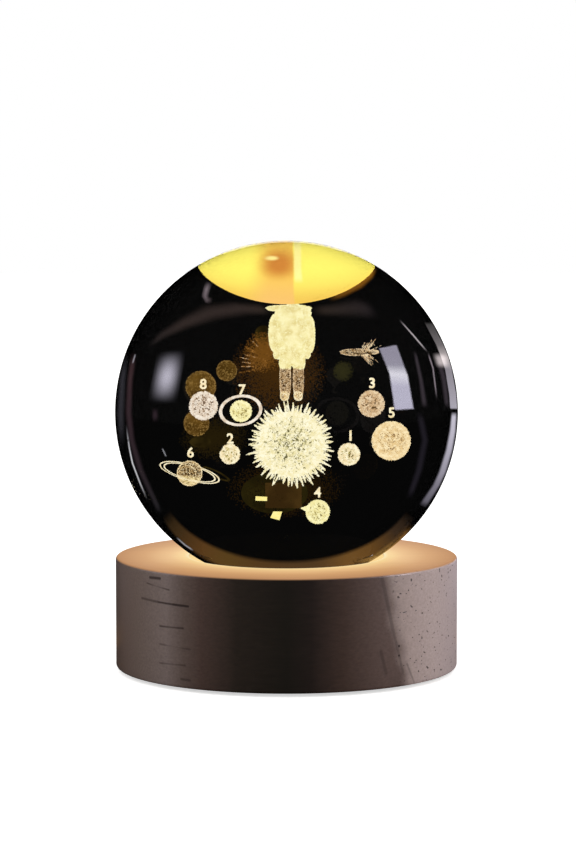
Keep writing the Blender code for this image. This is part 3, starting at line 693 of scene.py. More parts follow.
rows = [(x, y, r * 0.96, r * 0.96, r * 0.4) for x, y, r in GHOSTS]
filling("second_fillings", rows, GHOST_DEPTH, amber_fill)
outlines = [seen_at((x, y), GHOST_DEPTH, cover_of_cracks(r, 0.14, 0.97, 0.95)) for x, y, r in GHOSTS]
cracks("second_outlines", *np.concatenate(outlines, 1), amber, FINE_CRACK)
ring("second_ring", (216.0, 474.0), (14.0,), 1.6, 0.2, 26.0, GHOST_DEPTH, dim_amber, 900)
rows = [(200.5, 442.0, 11.0, 5.5, 4.0), (263.2, 333.8, 8.3, 8.3, 4.0)]
filling("second_patches", rows, GHOST_DEPTH, dim_amber)

# %% Soft glows
GLOW_CRACK = 0.09 * MM


def soft_glow(name, centre, half, depth, code, count):
    """Loose dim cracks that thin out from the middle, so the glow has no edge and hides nothing.

    An offset is a random direction times sqrt(u v), for uniform u and v, times the half sizes in pixels.
    """
    a, u, v = rng.uniform(0, 1, (3, count))
    r = np.sqrt(u * v)
    offsets = np.stack([half[0] * r * np.cos(2 * np.pi * a), 0 * a, half[1] * r * np.sin(2 * np.pi * a)], 1)
    cracks(name, *seen_at(centre, depth, offsets), glow_finish(f"glow, {name}", code, code), GLOW_CRACK)


soft_glow("glow_behind_suit", (278, 372), (50, 44), GHOST_DEPTH, "#3c260c", 13000)
soft_glow("glow_beside_suit", (264, 352), (22, 22), GHOST_DEPTH - MM, "#6b4516", 2600)
soft_glow("glow_left", (214, 438), (36, 24), GHOST_DEPTH, "#221a08", 5000)
soft_glow("glow_right", (343, 371), (11, 11), GHOST_DEPTH, "#2c2a16", 1100)
soft_glow("glow_below", (285, 488), (60, 32), GHOST_DEPTH, "#241806", 8000)

# %% The sun's second image
RAY_COUNT, RAY_CENTRE = 14, (279.0, 366.0)
way = np.radians(rng.uniform(112, 192, RAY_COUNT))
length = rng.uniform(30, 43, (RAY_COUNT, 1))
outward = np.stack([np.cos(way), 0 * way, np.sin(way)], 1)
brown = glow_finish("second image, thorns", "#9c6c32", "#6b4518")
rays = needles(outward * 14, outward * length, 60, 1.1)
cracks("second_thorns", *seen_at(RAY_CENTRE, GHOST_DEPTH, rays), brown, FINE_CRACK)
pale_way = rng.choice(RAY_COUNT, 8, replace=False)
outward, length = outward[pale_way], length[pale_way]
tips = needles(outward * (length - 9), outward * (length + 1), 14, 0.2)
cracks("second_thorn_tips", *seen_at(RAY_CENTRE, GHOST_DEPTH, tips), tan_cracks, 0.08 * MM)

# %% [markdown]
# ## Lamps seen in the ball
#
# Low in the ball two of the lamps show, with their board dimly behind them. Their images are painted
# light in the glass: each lamp's image is a small glowing plate, whose outline is carried into the
# glass at two depths, and the two are joined. The board's image is a disc and a rectangle of loose
# dim cracks.

# %% Lamps seen in the ball
lamp_gold = glow_finish("lamp image, warm", "#fdf2a0", "#fbe98a")
board_dim = glow_finish("board image, olive", "#28220a", "#1d1807", patch=3.0)
board_brown = glow_finish("board image, brown", "#422f13", "#33230d", patch=3.0)
DISC_CRACKS, OBLONG_CRACKS = 8000, 6000
LAMP_IMAGES = [
    [(255.6, 496.2), (267.2, 496.8), (267.0, 501.0), (255.4, 500.6)],
    [(273.4, 511.4), (282.2, 511.6), (279.4, 520.2), (270.2, 517.8)],
]


def plates(name, outlines, depth, thickness, finish):
    """Flat plates: each outline of pixels is carried into the glass at two depths and joined."""
    outlines = np.array(outlines, float)
    count, corners = outlines.shape[:2]
    near = into_glass(outlines[..., 0], outlines[..., 1], depth)
    far = into_glass(outlines[..., 0], outlines[..., 1], depth + thickness)
    front = np.arange(count * corners).reshape(count, corners)
    back = front + count * corners
    walls = np.stack([front, back, np.roll(back, -1, 1), np.roll(front, -1, 1)], -1).reshape(-1, corners)
    faces = np.concatenate([front, back[:, ::-1], walls])
    points = np.concatenate([near, far]).reshape(-1, 3)
    piece(name, points, faces, finish, "globe", "glass_engraving", smooth=False)


plates("lamp_images", LAMP_IMAGES, -9 * MM, 0.3 * MM, lamp_gold)
disc = on_sphere(DISC_CRACKS) * (33.0, 0.0, 20.0)
cracks("board_image", *seen_at((274.5, 493.0), 12 * MM, disc), board_dim, GLOW_CRACK)
oblong = rng.uniform(-1, 1, (OBLONG_CRACKS, 3)) * (18.0, 0.0, 12.5)
cracks("board_image_brown", *seen_at((283.5, 495.5), 11 * MM, oblong), board_brown, GLOW_CRACK)

# %% [markdown]
# ## Light under the crown
#
# The crown of the ball is filled with yellow light: the ball gathers what its lamps throw on the
# table behind it and shows it upside down. As that has to look right from every side, it is a
# body of light turned about the ball's axis. Its upper face follows the glass just inside the
# surface, and its lower face hangs down to a little under half the radius above the centre.

# %% Light under the crown
CROWN_RIM, CROWN_LOW, CROWN_BRIGHTNESS = 0.863, 0.459, 1.12
CROWN_INSET = 0.25 * MM

rim_angle = asin(CROWN_RIM) / radians(1)
crown_radius = RADIUS - CROWN_INSET
rim, lowest = crown_radius * cos(radians(rim_angle)), CROWN_LOW * RADIUS
share = np.linspace(0, 1, 48)
# The hang of the lower face, from 0 on the axis to 1 at the rim: 0.66 t^2 + 0.34 t^6.
hang = 0.66 * share**2 + 0.34 * share**6
under = np.stack([rim * share, CENTRE[2] + lowest + (crown_radius * CROWN_RIM - lowest) * hang], 1)
crown_outline = np.concatenate([under, arc((0, CENTRE[2]), crown_radius, rim_angle, 90, 40)[1:]])
crown_outline[-1, 0] = 0


def near_pixel(add, place, px, py, near, far, size):
    """1 up to near mm from where the camera's ray meets the ball, falling to 0 at far mm.

    The distance is |size x (place - that point)|, so a size below 1 stretches the patch along its axis.
    """
    middle = tuple((first_touch(rays_through(px, py))[0] / MM).tolist())
    away = add("VectorMath", place, middle, operation="SUBTRACT")
    away = add("VectorMath", away, size, operation="MULTIPLY")
    away = add("VectorMath", away, operation="LENGTH")
    return add("MapRange", away, far, near, **SMOOTH)


def all_of(add, *masks):
    """The product of some masks."""
    whole = masks[0]
    for mask in masks[1:]:
        whole = add("Math", whole, mask, operation="MULTIPLY")
    return whole


def crown_colours(add):
    """Yellow, turning golden below, with a peach column, an orange blot, a glint and a pale streak."""
    place = millimetres(add)
    x, y, z = add("SeparateXYZ", place).outputs
    top, bottom = (CENTRE[2] + 0.88 * RADIUS) / MM, (CENTRE[2] + 0.5 * RADIUS) / MM
    low = add("MapRange", z, top, bottom, **SMOOTH)
    tint = add("ValToRGB", low, stops=((0.0, "#fdf06c"), (0.55, "#f5de63"), (1.0, "#e8bf54")))
    front = add("MapRange", y, 6.0, -2.0, **SMOOTH)
    left = add("MapRange", x, -9.0, -3.0, **SMOOTH)
    right = add("MapRange", x, 1.7, 1.2, **SMOOTH)
    column = all_of(add, left, right, front, 0.85)
    peach = add("ValToRGB", low, stops=((0.0, "#efba50"), (1.0, "#efbc6c")))
    blot = near_pixel(add, place, 279.0, 264.0, 1.0, 6.0, (1, 0.45, 0.8))
    glint = near_pixel(add, place, 271.6, 258.7, 0.5, 1.6, (0.75, 0.4, 2.2))
    edge = add("MapRange", x, 1.5, 1.9, **SMOOTH)
    end = add("MapRange", x, 3.6, 3.0, **SMOOTH)
    high = add("MapRange", low, 0.5, 0.2, **SMOOTH)
    streak = all_of(add, edge, end, front, high, 0.75)
    strokes = add("TexNoise", millimetres(add, (2.2, 0.6, 0.6)), 1.0, 1.0)
    strokes = add("MapRange", strokes, 0.66, 0.72, **SMOOTH)
    aside = add("MapRange", x, 3.0, 7.0, **SMOOTH)
    deep = add("MapRange", low, 0.55, 0.8, **SMOOTH)
    strokes = all_of(add, strokes, aside, deep, 0.7)
    masks = (column, blot, glint, streak, strokes)
    for mask, layer in zip(masks, (peach, "#cc8338", "#fbe58c", "#fdf3a0", "#b09028")):
        tint = add("Mix", mask, tint, layer, data_type="RGBA")
    return {"Emission Color": tint}


crown_glow = {**UNLIT, "Emission Strength": CROWN_BRIGHTNESS / THROUGH_GLASS}
crown_light = finish_of("gathered lamp light", crown_glow, crown_colours)
crown = piece("crown_light", *turned(crown_outline, 128), crown_light, "globe", "glass_engraving")
# The ball would mirror its crown again at its foot, far too brightly, so mirror rays don't see it.
crown.visible_glossy = False

# %% [markdown]
# ## The wooden base
#
# The base is turned from one blank of beech with its grain lying across, stained almost black and
# sealed with a satin lacquer. Its outline is the model's own, with finer roundings. The board's
# pocket, the inlet's slot and the button's stepped hole are cut from it with Boolean modifiers, as
# a router and a drill cut the real one.

# %% The base's outline
TOP_ROUNDING, BOTTOM_ROUNDING, LIP_ROUNDING = 0.7 * MM, 0.8 * MM, 0.5 * MM
RECESS_CLEARANCE, CAVITY_WALL = 1.1 * MM, 10 * MM
LEDGE_WIDTH, SEAT_THICKNESS = 2.3 * MM, 4 * MM

recess_floor = ball_low.z - FIT_GAP
recess_radius = sqrt(RADIUS**2 - (CENTRE[2] - BASE_TOP) ** 2) + RECESS_CLEARANCE
window_low, window_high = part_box("light_window")
window_hole = window_high.x + FIT_GAP
bore = window_hole - LEDGE_WIDTH
cavity_roof = recess_floor - SEAT_THICKNESS
cover_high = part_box("bottom_cover")[1]
cover_ledge = cover_high.z + FIT_GAP
cover_hole = cover_high.x + FIT_GAP
cavity = BASE_RADIUS - CAVITY_WALL

base_outline = np.concatenate(
    [
        arc((BASE_RADIUS - BOTTOM_ROUNDING, base_low.z + BOTTOM_ROUNDING), BOTTOM_ROUNDING, -90, 0, 8),
        arc((BASE_RADIUS - TOP_ROUNDING, BASE_TOP - TOP_ROUNDING), TOP_ROUNDING, 0, 90, 12),
        arc((recess_radius + LIP_ROUNDING, BASE_TOP - LIP_ROUNDING), LIP_ROUNDING, 90, 180, 8),
        [
            (recess_radius, recess_floor),
            (window_hole, recess_floor),
            (window_hole, window_low.z - FIT_GAP),
            (bore, window_low.z - FIT_GAP),
            (bore, cavity_roof),
            (cavity, cavity_roof),
            (cavity, cover_ledge),
            (cover_hole, cover_ledge),
            (cover_hole, base_low.z),
        ],
    ]
)

# %% Tones and marks of the wood
# Stain under satin lacquer, with the room's light painted on it as soft upright bands of sheen,
# from left to right.
STAIN_AND_SHEEN_TONES = (
    (0.0, "#5c4a42"),
    (0.08, "#665750"),
    (0.16, "#70625e"),
    (0.21, "#574842"),
    (0.26, "#46352f"),
    (0.36, "#2a211b"),
    (0.5, "#1f1a14"),
    (0.57, "#261c18"),
    (0.66, "#402f28"),
    (0.78, "#5c4943"),
)
# Paler wood at the right, with the room's light painted on it as a pale sheen.
PALE_WOOD_SHEEN_TONES = ((0.78, "#8a7973"), (0.84, "#a4918c"), (0.92, "#b6a3a0"), (1.0, "#b8a6a7"))

# Marks on the side wall: x and y of both ends in pixels, half width in mm, strength.
MARKS = (
    (150, 577.5, 160, 578.5, 0.35, 0.8),
    (147, 583, 169, 590, 0.2, 0.6),
    (142, 598, 158, 602, 0.3, 0.6),
    (158, 602, 173, 604.5, 0.25, 0.8),
    (173, 604.5, 188, 606.5, 0.3, 0.9),
    (160, 626, 183, 628.5, 0.25, 0.7),
    (160, 644, 190, 649.5, 0.25, 0.45),
    (160, 663, 185, 665.5, 0.25, 0.45),
    (181, 679, 190, 680.5, 0.3, 0.5),
    (399, 646, 399, 646.2, 0.3, 1.0),
    (399, 655.5, 399, 655.7, 0.3, 1.0),
    (382, 578, 393, 630, 0.5, 0.35),
    (393, 630, 403, 672, 0.4, 0.3),
    (381, 652, 386, 673, 0.45, 0.35),
    (407, 664, 414, 682, 0.3, 0.35),
)


def on_wall(px, py):
    """Where the camera's ray meets the side wall: the nearer root of (x + t u)^2 + (y + t v)^2 = R^2."""
    ray = rays_through(px, py)
    a, b = ray[0] ** 2 + ray[1] ** 2, eye[0] * ray[0] + eye[1] * ray[1]
    t = (-b - sqrt(b**2 - a * (eye[0] ** 2 + eye[1] ** 2 - BASE_RADIUS**2))) / a
    return (eye + t * ray) / MM


def stroke(add, place, start, end, half_width, strength):
    """A soft line: its strength falls smoothly to 0 from 0.4 to 1.4 half widths away from it.

    The nearest point is start + t (end - start), with t = (place - start) . (end - start) / length^2,
    kept between 0 and 1.
    """
    along = end - start
    from_start = add("VectorMath", place, tuple(start.tolist()), operation="SUBTRACT")
    scaled = tuple((along / (along @ along)).tolist())
    t = add("VectorMath", from_start, scaled, operation="DOT_PRODUCT")
    t = add("Math", t, 0.0, operation="ADD", use_clamp=True)
    nearest = add("VectorMath", tuple(along.tolist()), t, operation="SCALE")
    away = add("VectorMath", from_start, nearest, operation="DISTANCE")
    return add("MapRange", away, half_width * 1.4, half_width * 0.4, 0.0, strength, **SMOOTH)


def wood_marks(add, x):
    """Pores at the right and the marks on the side: 0 on clean wood, up to 1 in a mark."""
    pores = add("TexNoise", millimetres(add, (0.9, 0.9, 0.6)), 1.0, 0.0)
    pores = add("MapRange", pores, 0.74, 0.79, **SMOOTH)
    marks = all_of(add, pores, add("MapRange", x, 22.0, 26.0, **SMOOTH), 0.85)
    place = millimetres(add)
    for x1, y1, x2, y2, half_width, strength in MARKS:
        line = stroke(add, place, on_wall(x1, y1), on_wall(x2, y2), half_width, strength)
        marks = add("Math", marks, line, operation="MAXIMUM")
    return marks


def stain(add, x, z, fibres):
    """Wood stained dark, with painted sheen in soft upright bands, and at the right paler wood with
    painted sheen, whose edge leans and sways.
    """
    across = add("MapRange", x, -BASE_RADIUS / MM, BASE_RADIUS / MM)
    dark_stain_and_sheen = add("ValToRGB", across, stops=STAIN_AND_SHEEN_TONES)
    pale_wood_and_sheen = add("ValToRGB", across, stops=PALE_WOOD_SHEEN_TONES)
    waves = add("TexNoise", millimetres(add, (8, 8, 6)), 1.0, 1.0)
    lean = add("Math", z, 0.2, operation="MULTIPLY")
    sway = add("Math", waves, 3.5, operation="MULTIPLY")
    edge = add("Math", x, lean, operation="ADD")
    edge = add("Math", edge, sway, operation="ADD")
    # Paler wood with its painted sheen at the right, from 27 to 31.5 mm out along this swaying edge.
    pale_sheen_side = add("MapRange", edge, 27.0, 31.5, **SMOOTH)
    wood = add("Mix", pale_sheen_side, dark_stain_and_sheen, pale_wood_and_sheen, data_type="RGBA")
    return add("Mix", 1.0, wood, fibres, data_type="RGBA", blend_type="MULTIPLY")


# %% The lit top
# Colours of the lit top, from the recess's lip (0) out to the base's edge (1).
WARM_TONES = ((0.0, "#fff0c4"), (0.07, "#fbd99a"), (0.27, "#ecc088"), (0.6, "#d6a471"), (1.0, "#c08d62"))
RECESS_TONE, MARK_TONE, LIT_STAIN = "#ffdc98", "#261b17", "#1a110b"
GRAIN_SIZE, GRAIN_RELIEF, GRAIN_DEPTH = (18, 0.5, 0.5), 0.35, 0.10 * MM


def lamp_light(add, x, y, z, fibres):
    """The colour of the warm light on the top and in the recess, and the share of it that falls there."""
    out = add("VectorMath", add("CombineXYZ", x, y), operation="LENGTH")
    facing = add("SeparateXYZ", add("NewGeometry").outputs["Normal"]).outputs["Z"]
    upward = add("MapRange", facing, 0.35, 0.98, **SMOOTH)
    lip, floor = recess_radius / MM, recess_floor / MM
    inside = add("MapRange", out, lip + 0.25, lip + 0.05, **SMOOTH)
    above = add("MapRange", z, floor - 1.0, floor - 0.2, **SMOOTH)
    lit = all_of(add, add("Math", upward, inside, operation="MAXIMUM"), above)
    far = add("MapRange", out, lip, BASE_RADIUS / MM)
    warm = add("ValToRGB", far, stops=WARM_TONES)
    warm = add("Mix", 0.35, warm, fibres, data_type="RGBA", blend_type="MULTIPLY")
    return add("Mix", inside, warm, RECESS_TONE, data_type="RGBA"), lit


def stained_beech(add):
    """Stain with painted sheen, grain along X, marks and pores, and the lamps' warm light on the top."""
    x, y, z = add("SeparateXYZ", millimetres(add)).outputs
    grain = add("TexNoise", millimetres(add, GRAIN_SIZE), 1.0, 4.0, 0.6)
    fibres = add("ValToRGB", grain, stops=((0.3, "#e4e4e4"), (0.7, "#ffffff")))
    marks = wood_marks(add, x)
    wood = add("Mix", marks, stain(add, x, z, fibres), MARK_TONE, data_type="RGBA")
    height = add("Math", add("Math", grain, 0.4, operation="MULTIPLY"), marks, operation="SUBTRACT")
    warm, lit = lamp_light(add, x, y, z, fibres)
    return {
        "Base Color": add("Mix", lit, wood, LIT_STAIN, data_type="RGBA"),
        "Normal": add("Bump", GRAIN_RELIEF, GRAIN_DEPTH, None, height),
        "Emission Color": warm,
        "Emission Strength": lit,
    }


lacquer = {"Roughness": 0.46, "Specular IOR Level": 0.12}
beech = finish_of("stained beech, satin lacquer", lacquer, stained_beech)
base = piece("base_wood", *turned(base_outline, 256), beech, "base", "stained_beech")
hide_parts("wooden_base")

# %% Pocket, slot and hole
# Distances from the axis: where the pocket and the bores start, the step in the button's hole, and
# a place outside the base.
POCKET_START, BORE_START, HOLE_STEP, OUTSIDE = 22.8 * MM, 29.3 * MM, 36.15 * MM, 42 * MM
POCKET_CLEARANCE, POCKET_DEPTH = 0.5 * MM, 0.3 * MM
SLOT_HALF_HEIGHT, FLANGE_HOLE, CAP_RADIUS = 1.9 * MM, 4.64 * MM, 3.0 * MM

board_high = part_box("control_board")[1]
port_low, port_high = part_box("usb_c_shell")
cap_low, cap_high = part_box("power_button_cap")
port_z, cap_z = (port_low.z + port_high.z) / 2, (cap_low.z + cap_high.z) / 2
flange_radius = (cap_high.x - cap_low.x) / 2


def towards_back(points, height):
    """Turns points made about Z so that the axis runs along +Y: (x, y, z) goes to (x, z, height - y)."""
    points = np.asarray(points, float)
    return np.stack([points[:, 0], points[:, 2], height - points[:, 1]], 1)


def prism(across, up, start, end, sides):
    """A rod along +Y with rounded ends: the unit circle is moved out sideways by across - up."""
    points, faces = turned([(0, start), (up, start), (up, end), (0, end)], sides)
    points[:, 0] += np.sign(np.round(points[:, 0], 7)) * (across - up)
    return points, faces


pocket_x = board_high.x + POCKET_CLEARANCE
pocket_low, pocket_high = cover_ledge - MM, board_high.z + POCKET_CLEARANCE
corners = np.array([(i, j, k) for k in (0, 1) for j in (0, 1) for i in (0, 1)], float)
corners = corners * (2 * pocket_x, board_high.y + POCKET_DEPTH - POCKET_START, pocket_high - pocket_low)
box_faces = np.array([(0, 2, 3, 1), (4, 5, 7, 6), (0, 1, 5, 4), (2, 6, 7, 3), (0, 4, 6, 2), (1, 3, 7, 5)])
slot_half = (port_high.x - port_low.x) / 2 + FIT_GAP
slot_points, slot_faces = prism(slot_half, SLOT_HALF_HEIGHT, BORE_START, OUTSIDE, 48)
hole = CAP_RADIUS + FIT_GAP
hole_rows = [(0, BORE_START), (FLANGE_HOLE, BORE_START), (FLANGE_HOLE, HOLE_STEP), (hole, HOLE_STEP)]
hole_points, hole_faces = turned([*hole_rows, (hole, OUTSIDE), (0, OUTSIDE)], 64)
tools = [
    new_object("pocket", corners + (-pocket_x, POCKET_START, pocket_low), box_faces),
    new_object("slot", towards_back(slot_points, port_z), slot_faces),
    new_object("hole", towards_back(hole_points, cap_z), hole_faces),
]
for tool in tools:
    cut = base.modifiers.new(tool.name, "BOOLEAN")
    cut.object, cut.operation, cut.solver = tool, "DIFFERENCE", "EXACT"
finished = base.evaluated_get(bpy.context.evaluated_depsgraph_get())
base.data = bpy.data.meshes.new_from_object(finished)
base.modifiers.clear()
base.data.set_sharp_from_angle(angle=SHARP_ANGLE)
for tool in tools:
    bpy.data.objects.remove(tool)
# The ball mirrors the lit top at its foot, too brightly. A card draws the darker band instead.
base.visible_glossy = False
print("base:", len(base.data.polygons), "faces")

# %% [markdown]
# ## The button and the small parts
#
# The button's cap is moulded with a shallow dish for the fingertip, so it gets a finer turned
# body. The other small parts keep the model's shapes and only get their real finishes: plated
# steel, lacquered boards, moulded nylon and acetal, rubber. Each finish has the fine unevenness
# that its making leaves.

# %% Finishes of the small parts


def moulded(name, code, shade, roughness, grit):
    """Moulded plastic or rubber: a spark-eroded mould leaves fine pits, grit millimetres apart."""

    def pits(add):
        spots = add("TexNoise", millimetres(add, (grit,) * 3), 1.0, 2.0)
        return {
            "Base Color": add("ValToRGB", spots, stops=((0.3, shade), (0.7, code))),
            "Normal": add("Bump", 0.3, 0.02 * MM, None, spots),
        }

    return finish_of(name, {"Roughness": roughness}, pits)


def plated(name, code, roughness):
    """Plated metal: the brightness is uneven in soft clouds, where the bath left the layer thicker."""

    def clouds(add):
        spots = add("TexNoise", millimetres(add, (1.5,) * 3), 1.0, 3.0)
        return {"Roughness": add("MapRange", spots, 0.3, 0.7, roughness, roughness + 0.15)}

    return finish_of(name, {"Base Color": code, "Metallic": 1.0}, clouds)


def board_mask(name, code, trace):
    """Solder mask over copper: the tracks underneath show as slightly different bands 0.6 mm wide."""

    def tracks(add):
        bands = add("TexVoronoi", millimetres(add, (2.4, 2.4, 2.4)), 1.0, distance="MANHATTAN")
        bands = add("MapRange", bands, 0.42, 0.46, **SMOOTH)
        return {
            "Base Color": add("Mix", bands, trace, code, data_type="RGBA"),
            "Normal": add("Bump", 0.4, 0.03 * MM, None, bands),
        }

    return finish_of(name, {"Roughness": 0.3}, tracks)


def warm_phosphor(add):
    """Yellow phosphor in silicone, with a fine grain, glowing from within."""
    grains = add("TexNoise", millimetres(add, (0.15,) * 3), 1.0, 1.0)
    glow = add("ValToRGB", grains, stops=((0.3, "#ffd98a"), (0.7, "#fff0c0")))
    return {"Base Color": glow, "Emission Color": glow}


def milled_edge(add):
    """Cast acrylic, polished, with a faint haze in patches."""
    haze = add("TexNoise", millimetres(add, (2.0,) * 3), 1.0, 2.0)
    return {"Roughness": add("MapRange", haze, 0.3, 0.7, 0.02, 0.08)}


acrylic = finish_of("cast acrylic, clear", {"IOR": 1.49, "Transmission Weight": 1.0}, milled_edge)
black_plastic = moulded("moulded plastic, black", "#1b1b1c", "#131314", 0.42, 0.25)


def nodes_with(word):
    """The names of the frame's nodes that hold a word."""
    return [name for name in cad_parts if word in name]


FINISHES = {
    acrylic: ["light_window"],
    board_mask("solder mask, white", "#e9e8e2", "#dcdad2"): ["led_board"],
    finish_of("warm phosphor", {"Roughness": 0.5, "Emission Strength": 1.5}, warm_phosphor): [
        f"led_{number}" for number in range(1, 7)
    ],
    board_mask("solder mask, green", "#1d5a34", "#174a2b"): ["control_board"],
    plated("zinc-plated steel", "#b9bcc0", 0.28): nodes_with("screw"),
    plated("nickel-plated steel", "#c9c3b8", 0.18): ["usb_c_shell"],
    moulded("moulded nylon, black", "#1a1a1b", "#111112", 0.5, 0.2): ["usb_c_tongue", "power_switch_body"],
    moulded("moulded acetal, white", "#e8e6df", "#dad8d0", 0.35, 0.2): ["power_switch_plunger"],
    black_plastic: ["bottom_cover"],
    moulded("lead sleeve, red", "#a3201c", "#8c1a17", 0.45, 0.3): ["lead_red"],
    moulded("lead sleeve, black", "#1c1c1c", "#121212", 0.45, 0.3): ["lead_black"],
    moulded("chip ceramic", "#2a2a2c", "#1c1c1e", 0.4, 0.1): nodes_with("resistor"),
    moulded("foot rubber", "#2b2b2b", "#1d1d1d", 0.8, 0.3): nodes_with("rubber_foot"),
}
for finish, names in FINISHES.items():
    for name in names:
        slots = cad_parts[name].data.materials
        for number in range(len(slots)):
            slots[number] = finish
print(len(FINISHES), "finishes for", sum(map(len, FINISHES.values())), "nodes")

# %% The button's cap
FLANGE, SOCKET_DEPTH, CAP_ROUNDING = 0.8 * MM, 2.5 * MM, 0.5 * MM
DISH, DISH_EDGE = 0.25 * MM, 0.83
plunger_low, plunger_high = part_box("power_switch_plunger")
socket_radius = (plunger_high.x - plunger_low.x) / 2 + FIT_GAP
# The dish sinks by DISH (1 - (t / edge)^2) at the share t of the cap's radius.
inward = np.array([0.75, 0.6, 0.45, 0.3, 0.15, 0])
dish = np.stack([inward * CAP_RADIUS, cap_high.y - DISH * (1 - (inward / DISH_EDGE) ** 2)], 1)

cap_outline = np.concatenate(
    [
        [(0, cap_low.y + SOCKET_DEPTH), (socket_radius, cap_low.y + SOCKET_DEPTH)],
        [(socket_radius, cap_low.y), (flange_radius, cap_low.y)],
        [(flange_radius, cap_low.y + FLANGE), (CAP_RADIUS, cap_low.y + FLANGE)],
        arc((CAP_RADIUS - CAP_ROUNDING, cap_high.y - CAP_ROUNDING), CAP_ROUNDING, 0, 90, 8),
        dish,
    ]
)
cap_points, cap_faces = turned(cap_outline, 96)
cap_points = towards_back(cap_points, cap_z)
cap = piece("button_cap", cap_points, cap_faces, black_plastic, "button", "black_button_plastic")
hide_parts("power_button_cap")

# %% [markdown]
# ## Black tent and reflection cards
#
# A studio stands a black tent round clear glass, and cards in it draw the wanted reflections. The
# tent is seen only by mirror rays, so the floor and the backdrop stay white. A card's reflection
# is drawn first, as a strip between two lines of pixels. Each pixel's ray is mirrored on the ball,
# and the card stands where the mirrored rays go. Its light is the wanted colour divided by how
# much the glass mirrors there, which rises towards the ball's edge.

# %% Black tent
CARD_DISTANCE, CARD_LOWEST = 300 * MM, 5 * MM
TENT_RADIUS, TENT_FOOT = 450 * MM, 0.4 * MM


def stage_mesh(name, points, faces, material):
    """A stage object, which isn't part of the lamp."""
    thing = new_object(name, points, faces, material)
    return thing


def for_mirrors_only(thing):
    """Hides a stage object from everything except mirror rays."""
    thing.visible_camera = thing.visible_diffuse = thing.visible_shadow = thing.visible_transmission = False
    return thing


tent_outline = np.concatenate([[(0, TENT_FOOT)], arc((0, TENT_FOOT), TENT_RADIUS, 0, 90, 24)])
tent_outline[-1, 0] = 0
black_cloth = finish_of("black velvet", {**UNLIT, "Base Color": "#020202", "Roughness": 1.0})
for_mirrors_only(stage_mesh("black_tent", *turned(tent_outline, 96), black_cloth))

# %% A pale card behind the lamp
# The metal at the back would mirror only black, so a card stands behind it, too narrow for the
# ball's edge to mirror it towards the front.
CARD_HALF, CARD_BACK, CARD_HEIGHTS = 56 * MM, 400 * MM, (30 * MM, 300 * MM)
pale_light = {**UNLIT, "Emission Color": "#e8e6ea", "Emission Strength": 1.0}
back_points = [(x, CARD_BACK, z) for z in CARD_HEIGHTS for x in (-CARD_HALF, CARD_HALF)]
for_mirrors_only(stage_mesh("back_card", back_points, [(0, 1, 3, 2)], finish_of("pale card", pale_light)))

# %% Reflection cards
card_light = bpy.data.materials.new("reflection card")
card_light.use_nodes = True
tree = card_light.node_tree
add = partial(add_node, tree)
tree.nodes.remove(tree.nodes["Principled BSDF"])
glow = add("Emission", add("Attribute", attribute_name="light"))
clear = add("BsdfTransparent")
both = add("AddShader", glow, clear)
tree.links.new(both.outputs[0], tree.nodes["Material Output"].inputs["Surface"])


def mirrored_share(cosine):
    """Share of light that the tinted glass mirrors: tint x F0 + (1 - tint x F0) (F - F0) / (1 - F0).

    F is Fresnel's law: with g = sqrt(n^2 - 1 + c^2), it is
    ((g - c) / (g + c))^2 (1 + ((c (g + c) - 1) / (c (g - c) + 1))^2) / 2.
    """
    c, n = cosine, GLASS_IOR
    g = np.sqrt(n**2 - 1 + c**2)
    whole = ((g - c) / (g + c)) ** 2 * (1 + ((c * (g + c) - 1) / (c * (g - c) + 1)) ** 2) / 2
    head_on = ((n - 1) / (n + 1)) ** 2
    low = head_on * np.array(colour(MIRROR_TINT)[:3])
    return low + (1 - low) * ((whole - head_on) / (1 - head_on))[..., None]


def fading(t, soft):
    """Rises smoothly from 0 at an end to 1 at the share soft from it: 3 s^2 - 2 s^3."""
    s = np.clip(np.minimum(t, 1 - t) / max(soft, 1e-6), 0, 1)
    return s * s * (3 - 2 * s)


def card(name, first, second, codes, soft=(0.15, 0.5), grid=(40, 11)):
    """A card whose reflection fills the strip between two lines of pixels, with colours along it.

    Grid point (u, v) is (1 - v) first(u) + v second(u), and u counts the corners of each line. codes
    are hex codes with spaces between, and soft says how much of the ends and of the sides fades.
    """
    u, v = np.meshgrid(np.linspace(0, 1, grid[0]), np.linspace(0, 1, grid[1]), indexing="ij")
    lines = [np.array(line, float) for line in (first, second)]
    ends = [[np.interp(u, np.linspace(0, 1, len(line)), line[:, i]) for i in (0, 1)] for line in lines]
    px, py = [(1 - v) * ends[0][i] + v * ends[1][i] for i in (0, 1)]
    rays = rays_through(px, py)
    points, normals = first_touch(rays)
    cosine = -(rays * normals).sum(-1)
    ways = rays + 2 * cosine[..., None] * normals
    drop = (points[..., 2] - CARD_LOWEST) / np.maximum(-ways[..., 2], 1e-9)
    reach = np.where(ways[..., 2] < 0, drop, CARD_DISTANCE)
    places = points + ways * np.minimum(reach, CARD_DISTANCE)[..., None]
    tones = np.array([colour(code)[:3] for code in codes.split()])
    steps = np.linspace(0, 1, len(tones))
    light = np.stack([np.interp(u, steps, tones[:, i]) for i in range(3)], -1) / mirrored_share(cosine)
    light = light * (fading(u, soft[0]) * fading(v, soft[1]))[..., None]
    number = np.arange(u.size).reshape(u.shape)
    quads = np.stack([number[:-1, :-1], number[1:, :-1], number[1:, 1:], number[:-1, 1:]], -1).reshape(-1, 4)
    thing = for_mirrors_only(stage_mesh(name, places.reshape(-1, 3), quads, card_light))
    values = np.concatenate([light.reshape(-1, 3), np.ones((u.size, 1))], 1).astype(np.float32)
    thing.data.attributes.new("light", "FLOAT_COLOR", "POINT").data.foreach_set("color", values.ravel())
    print(f"{name}: up to {light.max():.1f}")


